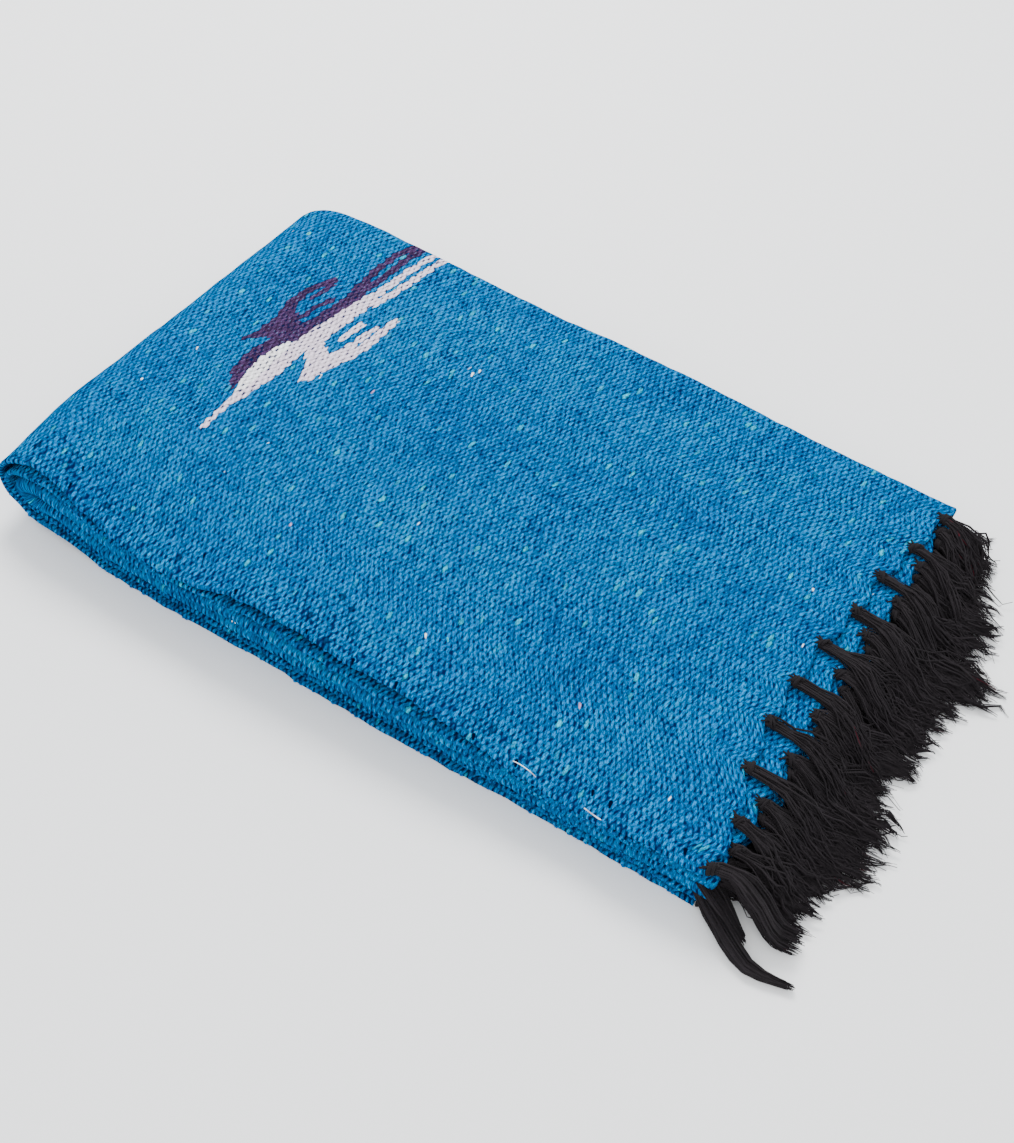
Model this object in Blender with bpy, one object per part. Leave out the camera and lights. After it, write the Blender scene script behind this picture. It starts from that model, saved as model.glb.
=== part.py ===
"""A folded woven blanket with a fringe of loose locks at both of its cut ends.

The cloth is folded twice across its width, like a book closed and closed again, and then once in
half along its length. The fold lies at -X, both fringed ends meet at +X, and Z is up. The four
layers of the width are numbered from the outside in: 0 has the edge that shows on top, 3 lies
innermost. Levels count the eight layers from the floor up: layer 0 is level 7 in the upper half
and level 0 in the lower one.

While it is being worked out, x runs from the outermost point of the fold towards the fringe and
y from the near side, negative, to the far side. All is centred on its box at the end.
"""

import math

import bpy
import numpy as np


def table(columns, *rows):
    """Rows of named columns, as one array for each name."""
    return {name: np.array([row[k] for row in rows]) for k, name in enumerate(columns)}


# Driving sizes, in metres
PACK_WIDTH = 0.380  # folded width, a quarter of the cloth's 1.52 m
CLOTH_THICK = 0.0040  # soft, thick weave
LAYERS = 8
WIDTH_LAYERS = 4

# The folded end: how far each layer's turn reaches past the line where it leaves its level
TURN_REACH = (0.0450, 0.0370, 0.0285, 0.0180)
TURN_START = 0.0470  # from the fold's outermost point
TURN_START_NEAR = 0.0125  # extra at the near corner, which is drawn back
NEAR_CORNER_Y = -0.080
FOLD_LIFT = 0.0090  # the underside lifts off the floor near the fold
FOLD_LIFT_FAR = 0.35  # share of that lift at the far side
FOLD_LIFT_FROM, FOLD_LIFT_RUN = 0.125, 0.065

# The folds along the far side
OUTER_BEND = 0.9  # roundness of the bend that joins layers 0 and 3
INNER_SETBACK = 0.0065  # the inner bend lies this far inside the outer one

# How thick the pack is along its length
HEIGHTS = table(
    ("x", "near", "middle", "far"),
    (0.000, 0.0690, 0.0700, 0.0700),
    (0.060, 0.0695, 0.0710, 0.0708),
    (0.120, 0.0570, 0.0680, 0.0690),
    (0.190, 0.0525, 0.0640, 0.0630),
    (0.250, 0.0620, 0.0620, 0.0580),
    (0.330, 0.0580, 0.0595, 0.0565),
    (0.400, 0.0540, 0.0550, 0.0520),
    (0.460, 0.0440, 0.0500, 0.0465),
    (0.520, 0.0390, 0.0455, 0.0435),
    (0.560, 0.0450, 0.0440, 0.0420),
    (0.600, 0.0440, 0.0425, 0.0405),
    (0.660, 0.0430, 0.0420, 0.0400),
)
EDGE_POWER = 2.5  # how closely the edge heights keep to the edges

# Shares of the free height between the levels, counted from the floor up
GAP_NAMES = ("g01", "g12", "g23", "g34", "g45", "g56", "g67")
GAPS = table(
    ("x", *GAP_NAMES),
    (0.00, 14, 14, 15, 26, 13, 12, 10),
    (0.10, 13, 13, 14, 25, 12, 13, 13),
    (0.22, 12, 12, 13, 22, 12, 13, 17),
    (0.33, 11, 11, 12, 18, 11, 14, 24),
    (0.42, 12, 12, 12, 17, 12, 14, 21),
    (0.52, 14, 14, 14, 15, 14, 14, 15),
    (0.66, 14, 14, 14, 15, 14, 14, 15),
)

# How far each edge on the near side lies inside the pack's nominal width, in millimetres
INSETS = table(
    ("x", "bottom_edge", "hidden_edge", "lower_bend", "upper_bend", "second_edge", "top_edge"),
    (0.00, 5, 6, 5, 4, 5, 10),
    (0.06, 4, 6, 4, 2, 4, 9),
    (0.12, 2, 4, 2, 0, 0, 0),
    (0.19, 1, 4, 2, -2, -3, -4),
    (0.25, 2, 3, 1, -3, -2, 1),
    (0.33, 0, 3, 1, -4, -3, 1),
    (0.40, 0, 4, 1, -3, -3, 1),
    (0.47, 2, 3, 2, 0, -1, -1),
    (0.53, 2, 3, 2, 1, -1, -2),
    (0.61, 1, 3, 3, 3, 2, 0),
)
NEAR_EDGE = {
    0: "bottom_edge",
    1: "hidden_edge",
    2: "lower_bend",
    3: "lower_bend",
    4: "upper_bend",
    5: "upper_bend",
    6: "second_edge",
    7: "top_edge",
}

# Where each layer ends at the fringe, across the width
HEM_UPPER = table(
    ("y", "layer_0", "layer_1", "layer_2", "layer_3"),
    (-0.190, 0.6065, 0.6090, 0.6090, 0.6080),
    (-0.145, 0.6035, 0.6110, 0.6120, 0.6150),
    (-0.100, 0.5905, 0.6090, 0.6120, 0.6170),
    (-0.065, 0.5865, 0.6085, 0.6130, 0.6180),
    (-0.022, 0.5845, 0.6055, 0.6110, 0.6170),
    (0.020, 0.5862, 0.6050, 0.6100, 0.6150),
    (0.055, 0.5915, 0.6070, 0.6110, 0.6140),
    (0.097, 0.5930, 0.6110, 0.6120, 0.6120),
    (0.130, 0.6000, 0.6100, 0.6110, 0.6100),
    (0.190, 0.6080, 0.6090, 0.6090, 0.6080),
)
HEM_LOWER = table(
    ("y", "layer_0", "layer_1", "layer_2", "layer_3"),
    (-0.190, 0.6030, 0.6060, 0.6080, 0.6070),
    (-0.100, 0.6110, 0.6150, 0.6120, 0.6170),
    (0.000, 0.6160, 0.6130, 0.6170, 0.6140),
    (0.100, 0.6120, 0.6120, 0.6150, 0.6130),
    (0.190, 0.6100, 0.6110, 0.6110, 0.6100),
)

# The fringe: a strip of warp roots along each cut end, with loose locks growing from it
ROOT_GAP = 0.0005  # between the hem and the strip
ROOT_DEPTH = 0.0030
ROOT_THICK = 0.0026
TASSELS = table(
    ("layer", "first", "pitch", "count"),
    (0, -0.184, 0.0395, 10),
    (1, -0.161, 0.0405, 9),
    (2, -0.168, 0.0405, 9),
    (3, -0.164, 0.0405, 9),
)
LOCKS_PER_TASSEL = 3
LOCK_ROOT = 0.0032  # width of one lock where it leaves the strip
LOCK_THICK = 0.0014
LOCK_PILE = 0.0018  # rise from one level's locks to the next where they lie on the floor
LOCK_FLOOR = LOCK_THICK / 2  # the lowest locks lie flat on the floor
LOCK_FALL_START, LOCK_FALL_RUN = 0.6235, 0.0270
LOCK_REACH = table(
    ("y", "x"),
    (-0.190, 0.672),
    (-0.145, 0.668),
    (-0.100, 0.684),
    (-0.030, 0.680),
    (0.030, 0.685),
    (0.066, 0.700),
    (0.115, 0.680),
    (0.150, 0.662),
    (0.190, 0.646),
)
LOCK_REACH_SPREAD = 0.007
LOCK_TIP_LEAST = 0.006  # from a lock's last ring to its tip
LOCK_FAN = 0.0095  # sideways spread between neighbouring tips
LOCK_SPLAY = 0.014  # locks at the corners swing outwards by this much
LOCK_RINGS = table(
    ("x", "width"),
    (0.6235, 0.0030),
    (0.6350, 0.0034),
    (0.6505, 0.0032),
)

# How finely the folded sheet is divided
RUN_STEPS = 7
BEND_STEPS = {"outer": 7, "inner": 5}
UPPER_STEPS, TURN_STEPS, LOWER_STEPS = 13, 12, 11

BLUE = (0.012, 0.190, 0.560, 1.0)
BLACK = (0.017, 0.015, 0.017, 1.0)


def ease(t):
    t = np.clip(t, 0.0, 1.0)
    return t * t * (3 - 2 * t)


def along(rows, name, at, key="x"):
    """A column's value on a smooth curve through its rows."""
    xs, ys = rows[key], rows[name]
    slope = np.gradient(ys, xs)
    at = np.clip(at, xs[0], xs[-1])
    i = np.clip(np.searchsorted(xs, at, side="right") - 1, 0, len(xs) - 2)
    step = xs[i + 1] - xs[i]
    t = (at - xs[i]) / step
    rise = (3 - 2 * t) * t * t
    return (
        ys[i] * (1 - rise)
        + ys[i + 1] * rise
        + step * slope[i] * t * (1 - t) ** 2
        - step * slope[i + 1] * t * t * (1 - t)
    )


# The stack of layers


def top_height(x, y):
    """Height of the pack's upper face over the floor."""
    v = y / (PACK_WIDTH / 2)
    near, middle, far = (along(HEIGHTS, name, x) for name in ("near", "middle", "far"))
    to_near = np.clip(-v, 0.0, 1.1) ** EDGE_POWER
    to_far = np.clip(v, 0.0, 1.1) ** EDGE_POWER
    return middle + (near - middle) * to_near + (far - middle) * to_far


def fold_lift(x, y):
    """How far the underside is off the floor beside the fold."""
    across = FOLD_LIFT_FAR + (1 - FOLD_LIFT_FAR) * ease((0.06 - y) / 0.25)
    return FOLD_LIFT * across * ease((FOLD_LIFT_FROM - x) / FOLD_LIFT_RUN)


def level_height(level, x, y):
    """Middle height of one of the eight layers, away from the turn."""
    shares = [along(GAPS, name, x) for name in GAP_NAMES]
    below = sum(shares[:level]) if level else 0.0
    lift = fold_lift(x, y)
    free = top_height(x, y) - LAYERS * CLOTH_THICK - lift
    return CLOTH_THICK / 2 + lift + level * CLOTH_THICK + free * below / sum(shares)


def fold_start(y):
    """Where the layers leave their levels and turn over."""
    return TURN_START + TURN_START_NEAR * ease((NEAR_CORNER_Y - y) / (PACK_WIDTH / 2 + NEAR_CORNER_Y))


def near_end(level, x):
    """Where a layer's flat run ends on the near side."""
    y = -PACK_WIDTH / 2 + along(INSETS, NEAR_EDGE[level], x) / 1000
    if level in (0, 1, 6, 7):
        return y
    upper = 5 if level > 3 else 3
    half = (level_height(upper, x, y) - level_height(upper - 1, x, y)) / 2
    return y + CLOTH_THICK / 2 + half


def far_end(level, x):
    """Where a layer's flat run ends on the far side."""
    y = PACK_WIDTH / 2
    base = 4 if level > 3 else 0
    if level - base in (0, 3):
        half = (level_height(base + 3, x, y) - level_height(base, x, y)) / 2
        return y - CLOTH_THICK / 2 - OUTER_BEND * half
    half = (level_height(base + 2, x, y) - level_height(base + 1, x, y)) / 2
    return y - CLOTH_THICK / 2 - INNER_SETBACK - half


def layer_point(layer, across, part, step):
    """Middle of the cloth on one layer's flat run, across being 0 near and 1 far.

    In the upper and lower parts step runs from 0 at the fold to 1 at the hem. In the turn it is
    the angle, from a right angle on top to minus a right angle underneath.
    """
    level = {"upper": LAYERS - 1 - layer, "lower": layer}
    nominal = (across - 0.5) * PACK_WIDTH
    start = fold_start(nominal)
    if part != "turn":
        rows = HEM_UPPER if part == "upper" else HEM_LOWER
        x = start + step * (along(rows, f"layer_{layer}", nominal, "y") - start)
        near, far = near_end(level[part], x), far_end(level[part], x)
        y = near + across * (far - near)
        return np.stack([x, y, level_height(level[part], x, y)], axis=-1)
    x = start - TURN_REACH[layer] * math.cos(step)
    rise = math.sin(step)
    share = (1 + rise) / 2
    near = share * near_end(level["upper"], x) + (1 - share) * near_end(level["lower"], x)
    far = share * far_end(level["upper"], x) + (1 - share) * far_end(level["lower"], x)
    y = near + across * (far - near)
    upper = level_height(level["upper"], start, y)
    lower = level_height(level["lower"], start, y)
    z = (upper + lower) / 2 + (upper - lower) / 2 * rise
    return np.stack([x, y, z], axis=-1)


def section(part, step):
    """The middle line of the folded sheet at one place along its length, edge to edge."""
    across = np.linspace(0.0, 1.0, RUN_STEPS + 1)
    runs = [layer_point(layer, across, part, step) for layer in range(WIDTH_LAYERS)]
    rows = [runs[0]]
    rows.append(bend(runs[0][-1], runs[3][-1], +OUTER_BEND, BEND_STEPS["outer"]))
    rows.append(runs[3][::-1])
    rows.append(bend(runs[3][0], runs[2][0], -1.0, BEND_STEPS["inner"]))
    rows.append(runs[2])
    rows.append(bend(runs[2][-1], runs[1][-1], +1.0, BEND_STEPS["inner"]))
    rows.append(runs[1][::-1])
    return np.concatenate(rows)


def bend(first, last, bulge, steps):
    """Points of a half round from one run's end to another's, without the ends themselves."""
    angle = np.linspace(0.0, math.pi, steps + 1)[1:-1, None]
    middle, arm = (first + last) / 2, (first - last) / 2
    out = np.array([0.0, bulge * np.linalg.norm(arm), 0.0])
    return middle + arm * np.cos(angle) + out * np.sin(angle)


def cloth_middle():
    """The sheet's middle surface, a row for each place along its length, upper hem to lower hem."""
    upper = [("upper", step) for step in np.linspace(1.0, 0.0, UPPER_STEPS + 1)]
    angles = np.linspace(math.pi / 2, -math.pi / 2, TURN_STEPS + 1)[1:-1]
    lower = [("lower", step) for step in np.linspace(0.0, 1.0, LOWER_STEPS + 1)]
    stations = upper + [("turn", angle) for angle in angles] + lower
    return np.array([section(part, step) for part, step in stations])


def surface_normals(grid):
    """Unit normals of a grid of points, across rows and columns."""
    normal = np.cross(np.gradient(grid, axis=0), np.gradient(grid, axis=1))
    return normal / np.linalg.norm(normal, axis=-1, keepdims=True)


# Meshes


def closed_sheet(grid, thick):
    """Vertices and faces of a grid given a thickness, closed all round its rim."""
    normal = surface_normals(grid)
    rows, columns = grid.shape[:2]
    count = rows * columns
    verts = np.concatenate(
        [(grid + normal * thick / 2).reshape(-1, 3), (grid - normal * thick / 2).reshape(-1, 3)]
    )
    index = np.arange(count).reshape(rows, columns)
    faces = []
    for i in range(rows - 1):
        for j in range(columns - 1):
            a, b = index[i, j], index[i, j + 1]
            c, d = index[i + 1, j + 1], index[i + 1, j]
            faces.append((a, d, c, b))
            faces.append((a + count, b + count, c + count, d + count))
    rim = [*index[0, :], *index[1:, -1], *index[-1, -2::-1], *index[-2:0:-1, 0]]
    for a, b in zip(rim, rim[1:] + rim[:1]):
        faces.append((a, b, b + count, a + count))
    return verts, faces


class Fringe:
    """The strip of roots along one cut end, and the locks that grow from its outer face."""

    def __init__(self, hem, normal, part):
        self.hem, self.normal, self.part = hem, normal, part
        self.verts, self.faces = [], []
        self.strip()

    def runs(self):
        """Each flat run: its layer, the hem points where it starts and ends, and its level."""
        first = 0
        order = (0, "outer"), (3, "inner"), (2, "inner"), (1, None)
        for layer, after in order:
            last = first + RUN_STEPS
            level = LAYERS - 1 - layer if self.part == "upper" else layer
            yield layer, level, first, last
            first = last + (BEND_STEPS[after] if after else 0)

    def stops(self):
        """Places along the strip, counted in hem points, and the level of each lock's first one."""
        places = {float(k): None for k in range(len(self.hem))}
        for layer, level, first, last in self.runs():
            span = self.hem[last, 1] - self.hem[first, 1]
            root = LOCK_ROOT * (last - first) / abs(span)
            for k in range(TASSELS["count"][layer]):
                y = TASSELS["first"][layer] + TASSELS["pitch"][layer] * k
                middle = first + (last - first) * (y - self.hem[first, 1]) / span
                begin = middle - root * LOCKS_PER_TASSEL / 2
                end = begin + root * LOCKS_PER_TASSEL
                places = {p: v for p, v in places.items() if not begin - root / 2 < p < end + root / 2}
                for n in range(LOCKS_PER_TASSEL):
                    places[begin + root * n] = (level, k, n)
                places[end] = None
        return sorted(places.items())

    def at(self, places, values):
        """Values along the hem at places that may lie between its points."""
        knots = np.arange(len(self.hem))
        return np.stack([np.interp(places, knots, values[:, k]) for k in range(3)], axis=-1)

    def strip(self):
        stops = self.stops()
        places = np.array([p for p, _ in stops])
        middle, normal = self.at(places, self.hem), self.at(places, self.normal)
        normal[:, 0] = 0.0
        normal /= np.linalg.norm(normal, axis=-1, keepdims=True)
        up = normal * ROOT_THICK / 2
        inner = middle + np.array([ROOT_GAP, 0.0, 0.0])
        outer = inner + np.array([ROOT_DEPTH, 0.0, 0.0])
        rings = np.stack([inner - up, outer - up, outer + up, inner + up], axis=1)
        self.verts = [tuple(v) for v in rings.reshape(-1, 3)]
        for k in range(len(stops) - 1):
            a, b = 4 * k, 4 * (k + 1)
            lock = stops[k][1]
            for side in range(4):
                after = (side + 1) % 4
                if side == 1 and lock:
                    self.lock(lock, (a + 1, b + 1, b + 2, a + 2), outer[k : k + 2], normal[k])
                else:
                    self.faces.append((a + side, b + side, b + after, a + after))
        self.faces.append((0, 1, 2, 3))
        last = 4 * (len(stops) - 1)
        self.faces.append((last + 3, last + 2, last + 1, last))

    def lock(self, name, root, ends, normal):
        """One tapering lock that grows out of a face of the strip and comes to rest on the floor."""
        level, tassel, number = name
        start = (ends[0] + ends[1]) / 2
        side = math.copysign(1.0, ends[1][1] - ends[0][1])
        up = math.copysign(1.0, normal[2])
        order = (number - (LOCKS_PER_TASSEL - 1) / 2) * side
        wave = math.sin(2.4 * tassel + 1.7 * level + 2.1 * number)
        drift = math.sin(11.0 * start[1] + 0.8 * level)
        reach = along(LOCK_REACH, "x", start[1], "y") + LOCK_REACH_SPREAD * wave
        splay = LOCK_SPLAY * (ease((start[1] - 0.165) / 0.02) - ease((-0.165 - start[1]) / 0.02))
        tip_y = start[1] + order * LOCK_FAN + 0.0045 * drift + splay
        stations = [x for x in LOCK_RINGS["x"] if x < reach - LOCK_TIP_LEAST] + [reach]
        spine = [
            (x, start[1] + (tip_y - start[1]) * ease((x - start[0]) / (reach - start[0])))
            for x in stations
        ]
        ring = list(root)
        for (x, y), width in zip(spine, LOCK_RINGS["width"]):
            z = lock_height(level, x, y)
            slope = (lock_height(level, x + 0.001, y) - lock_height(level, x - 0.001, y)) / 0.002
            rise = np.array([-slope, 0.0, 1.0]) / math.hypot(slope, 1.0) * LOCK_THICK / 2 * up
            half = np.array([0.0, side * width / 2, 0.0])
            middle = np.array([x, y, z])
            first = len(self.verts)
            corners = (middle - half - rise, middle + half - rise, middle + half + rise, middle - half + rise)
            self.verts.extend(tuple(c) for c in corners)
            after = [first, first + 1, first + 2, first + 3]
            for k in range(4):
                n = (k + 1) % 4
                self.faces.append((ring[k], ring[n], after[n], after[k]))
            ring = after
        x, y = spine[-1]
        heights = [lock_height(level, at, y) for at in LOCK_RINGS["x"]]
        self.verts.append((x, y, np.interp(x, LOCK_RINGS["x"], heights)))
        tip = len(self.verts) - 1
        for k in range(4):
            self.faces.append((ring[k], ring[(k + 1) % 4], tip))


def lock_height(level, x, y):
    """Middle height of a lock: on its own level beside the hems, then down to its place in the pile."""
    fall = ease((x - LOCK_FALL_START) / LOCK_FALL_RUN)
    return level_height(level, x, y) * (1 - fall) + (LOCK_FLOOR + level * LOCK_PILE) * fall


def signed_volume(verts, faces):
    """Volume inside a closed mesh, negative where its faces point inwards."""
    total = 0.0
    for face in faces:
        for k in range(1, len(face) - 1):
            a, b, c = verts[face[0]], verts[face[k]], verts[face[k + 1]]
            total += np.dot(a, np.cross(b, c)) / 6
    return total


def material(name, color, roughness):
    """A plain finish of one colour."""
    made = bpy.data.materials.new(name)
    made.use_nodes = True
    shader = made.node_tree.nodes["Principled BSDF"]
    shader.inputs["Base Color"].default_value = color
    shader.inputs["Roughness"].default_value = roughness
    shader.inputs["Metallic"].default_value = 0.0
    made.diffuse_color = color
    return made


def add_part(name, verts, faces, finish):
    """Makes one named object, with its faces pointing outwards."""
    verts = np.array(verts)
    if signed_volume(verts, faces) < 0:
        faces = [tuple(reversed(face)) for face in faces]
    mesh = bpy.data.meshes.new(name)
    mesh.from_pydata([tuple(v) for v in verts], [], [tuple(int(k) for k in face) for face in faces])
    mesh.materials.append(finish)
    mesh.validate()
    mesh.shade_smooth()
    bpy.context.scene.collection.objects.link(bpy.data.objects.new(name, mesh))


def main():
    for old in list(bpy.data.objects):
        bpy.data.objects.remove(old)

    middle = cloth_middle()
    normal = surface_normals(middle)
    blue = material("blue_weave", BLUE, 0.9)
    black = material("black_yarn", BLACK, 0.95)
    shapes = {"cloth": (*closed_sheet(middle, CLOTH_THICK), blue)}
    for name, part, row in (("fringe_upper", "upper", 0), ("fringe_lower", "lower", -1)):
        fringe = Fringe(middle[row], normal[row], part)
        shapes[name] = (np.array(fringe.verts), fringe.faces, black)

    every = np.concatenate([verts for verts, _, _ in shapes.values()])
    low, high = every.min(axis=0), every.max(axis=0)
    centre = np.array([(low[0] + high[0]) / 2, (low[1] + high[1]) / 2, 0.0])
    for name, (verts, faces, finish) in shapes.items():
        add_part(name, verts - centre, faces, finish)


main()
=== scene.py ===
"""Dresses a folded woven blanket: its soft blue weave, a woven bird, open selvedges and dark yarn fringe.

The cloth is folded twice across its width and once along its length. While a shape is worked out, x
runs from the outermost point of the fold towards the fringe and y from the near side, negative, to
the far side, as in the part's source. Every piece is then set where the part's own cloth lies.
"""

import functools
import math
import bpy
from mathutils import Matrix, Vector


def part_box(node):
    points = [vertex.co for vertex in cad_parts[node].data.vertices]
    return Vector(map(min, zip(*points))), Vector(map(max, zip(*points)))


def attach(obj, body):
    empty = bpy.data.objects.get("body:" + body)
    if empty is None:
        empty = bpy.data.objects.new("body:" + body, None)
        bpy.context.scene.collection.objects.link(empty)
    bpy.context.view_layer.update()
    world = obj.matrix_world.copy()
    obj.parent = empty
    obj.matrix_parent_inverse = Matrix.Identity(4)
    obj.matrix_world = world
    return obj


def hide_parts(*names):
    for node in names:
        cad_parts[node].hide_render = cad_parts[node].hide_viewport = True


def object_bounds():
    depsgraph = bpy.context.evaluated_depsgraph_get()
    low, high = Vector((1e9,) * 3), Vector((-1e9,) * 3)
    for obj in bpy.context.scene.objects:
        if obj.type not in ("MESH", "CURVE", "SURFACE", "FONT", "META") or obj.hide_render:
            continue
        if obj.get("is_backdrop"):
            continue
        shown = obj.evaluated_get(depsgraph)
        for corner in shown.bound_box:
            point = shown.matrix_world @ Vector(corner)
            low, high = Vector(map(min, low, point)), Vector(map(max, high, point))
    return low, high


bl_info = {
    "name": "Folded Blanket",
    "version": (1, 0, 0),
    "blender": (4, 5, 0),
    "location": "3D View > Sidebar > Blanket",
    "description": "Builds a folded woven blanket with a woven bird and a yarn fringe",
    "category": "Add Mesh",
}

import bpy
import numpy as np
from bpy.props import FloatProperty, FloatVectorProperty, IntProperty, PointerProperty
from mathutils import Matrix, Vector

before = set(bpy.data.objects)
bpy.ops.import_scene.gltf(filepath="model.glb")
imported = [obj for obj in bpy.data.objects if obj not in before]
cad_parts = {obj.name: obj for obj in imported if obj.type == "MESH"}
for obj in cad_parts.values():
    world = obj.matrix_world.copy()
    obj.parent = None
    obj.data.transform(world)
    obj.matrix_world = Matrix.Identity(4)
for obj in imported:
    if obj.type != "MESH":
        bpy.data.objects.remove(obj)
CAD_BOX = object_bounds()


def table(columns, *rows):
    """Rows of named columns, as one array for each name."""
    return {name: np.array([row[k] for row in rows]) for k, name in enumerate(columns)}


# The fold's driving sizes, as in the part's source, in metres
PACK_WIDTH = 0.380
CLOTH_THICK = 0.0040
LAYERS = 8
WIDTH_LAYERS = 4
TURN_REACH = (0.0450, 0.0370, 0.0285, 0.0180)
TURN_START = 0.0470
TURN_START_NEAR = 0.0125
NEAR_CORNER_Y = -0.080
FOLD_LIFT = 0.0090
FOLD_LIFT_FAR = 0.35
FOLD_LIFT_FROM, FOLD_LIFT_RUN = 0.125, 0.065
OUTER_BEND = 0.9
INNER_SETBACK = 0.0065

HEIGHTS = table(
    ("x", "near", "middle", "far"),
    (0.000, 0.0690, 0.0700, 0.0700),
    (0.060, 0.0695, 0.0710, 0.0708),
    (0.120, 0.0570, 0.0680, 0.0690),
    (0.190, 0.0525, 0.0640, 0.0630),
    (0.250, 0.0620, 0.0620, 0.0580),
    (0.330, 0.0580, 0.0595, 0.0565),
    (0.400, 0.0540, 0.0550, 0.0520),
    (0.460, 0.0440, 0.0500, 0.0465),
    (0.520, 0.0390, 0.0455, 0.0435),
    (0.560, 0.0450, 0.0440, 0.0420),
    (0.600, 0.0440, 0.0425, 0.0405),
    (0.660, 0.0430, 0.0420, 0.0400),
)
EDGE_POWER = 2.5

GAP_NAMES = ("g01", "g12", "g23", "g34", "g45", "g56", "g67")
GAPS = table(
    ("x", *GAP_NAMES),
    (0.00, 14, 14, 15, 26, 13, 12, 10),
    (0.10, 13, 13, 14, 25, 12, 13, 13),
    (0.22, 12, 12, 13, 22, 12, 13, 17),
    (0.33, 11, 11, 12, 18, 11, 14, 24),
    (0.42, 12, 12, 12, 17, 12, 14, 21),
    (0.52, 14, 14, 14, 15, 14, 14, 15),
    (0.66, 14, 14, 14, 15, 14, 14, 15),
)

INSETS = table(
    ("x", "bottom_edge", "hidden_edge", "lower_bend", "upper_bend", "second_edge", "top_edge"),
    (0.00, 5, 6, 5, 4, 5, 10),
    (0.06, 4, 6, 4, 2, 4, 9),
    (0.12, 2, 4, 2, 0, 0, 0),
    (0.19, 1, 4, 2, -2, -3, -4),
    (0.25, 2, 3, 1, -3, -2, 1),
    (0.33, 0, 3, 1, -4, -3, 1),
    (0.40, 0, 4, 1, -3, -3, 1),
    (0.47, 2, 3, 2, 0, -1, -1),
    (0.53, 2, 3, 2, 1, -1, -2),
    (0.61, 1, 3, 3, 3, 2, 0),
)
BEND_NAMES = ("lower_bend", "lower_bend", "upper_bend", "upper_bend")
NEAR_EDGE = ("bottom_edge", "hidden_edge", *BEND_NAMES, "second_edge", "top_edge")  # by level

HEM_UPPER = table(
    ("y", "layer_0", "layer_1", "layer_2", "layer_3"),
    (-0.190, 0.6065, 0.6090, 0.6090, 0.6080),
    (-0.145, 0.6035, 0.6110, 0.6120, 0.6150),
    (-0.100, 0.5905, 0.6090, 0.6120, 0.6170),
    (-0.065, 0.5865, 0.6085, 0.6130, 0.6180),
    (-0.022, 0.5845, 0.6055, 0.6110, 0.6170),
    (0.020, 0.5862, 0.6050, 0.6100, 0.6150),
    (0.055, 0.5915, 0.6070, 0.6110, 0.6140),
    (0.097, 0.5930, 0.6110, 0.6120, 0.6120),
    (0.130, 0.6000, 0.6100, 0.6110, 0.6100),
    (0.190, 0.6080, 0.6090, 0.6090, 0.6080),
)
HEM_LOWER = table(
    ("y", "layer_0", "layer_1", "layer_2", "layer_3"),
    (-0.190, 0.6030, 0.6060, 0.6080, 0.6070),
    (-0.100, 0.6110, 0.6150, 0.6120, 0.6170),
    (0.000, 0.6160, 0.6130, 0.6170, 0.6140),
    (0.100, 0.6120, 0.6120, 0.6150, 0.6130),
    (0.190, 0.6100, 0.6110, 0.6110, 0.6100),
)

TASSELS = table(
    ("layer", "first", "pitch", "count"),
    (0, -0.184, 0.0395, 10),
    (1, -0.161, 0.0405, 9),
    (2, -0.168, 0.0405, 9),
    (3, -0.164, 0.0405, 9),
)
# Where the locks' tips gather into wisps on the floor
WISPS = table(
    ("y", "x", "gather"),
    (-0.150, 0.668, 0.60),
    (-0.123, 0.675, 0.70),
    (-0.106, 0.688, 0.65),
    (-0.081, 0.689, 0.70),
    (-0.058, 0.679, 0.60),
    (-0.026, 0.678, 0.70),
    (0.004, 0.680, 0.60),
    (0.035, 0.682, 0.65),
    (0.066, 0.704, 0.75),
    (0.092, 0.680, 0.60),
    (0.118, 0.678, 0.70),
    (0.137, 0.668, 0.60),
    (0.156, 0.657, 0.70),
    (0.172, 0.648, 0.70),
    (0.196, 0.640, 0.80),
)
LOCKS_PER_TASSEL = 3
LOCK_FAN, LOCK_DRIFT = 0.0110, 0.0080  # how far a tassel's locks part, and how far they swing together
NEAREST_TIP = -0.160  # no tip lies nearer to the near side
TIP_PAST, TIP_UNEVEN, TIP_SLANT = 0.009, 0.0055, 0.45  # strands outrun the solid locks, unevenly
HEM_HIDDEN = 0.0015  # of each lock, inside the hem
FLOOR_REST, FLOOR_PILE = 0.0010, 0.0012  # height of the lowest locks on the floor, and of each level more
SELVEDGE_PITCH = 0.0041
TURNS_HIDDEN = 0.55  # share of the selvedge's turns that lie flat in the weave
KNOT_WIDE, KNOT_TALL, KNOT_LONG = 0.0036, 0.0026, 0.0040
KNOT_TILT, KNOT_LOWEST = 0.0024, 0.0018  # how far a turn leans, and how near the floor it may come
KNOT_TURNS, KNOT_STOPS = 2.2, 20
WARP_END_PLACES = (-1.0, -0.4, 0.3, 0.9)  # across a tassel, 0 being its middle

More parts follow.
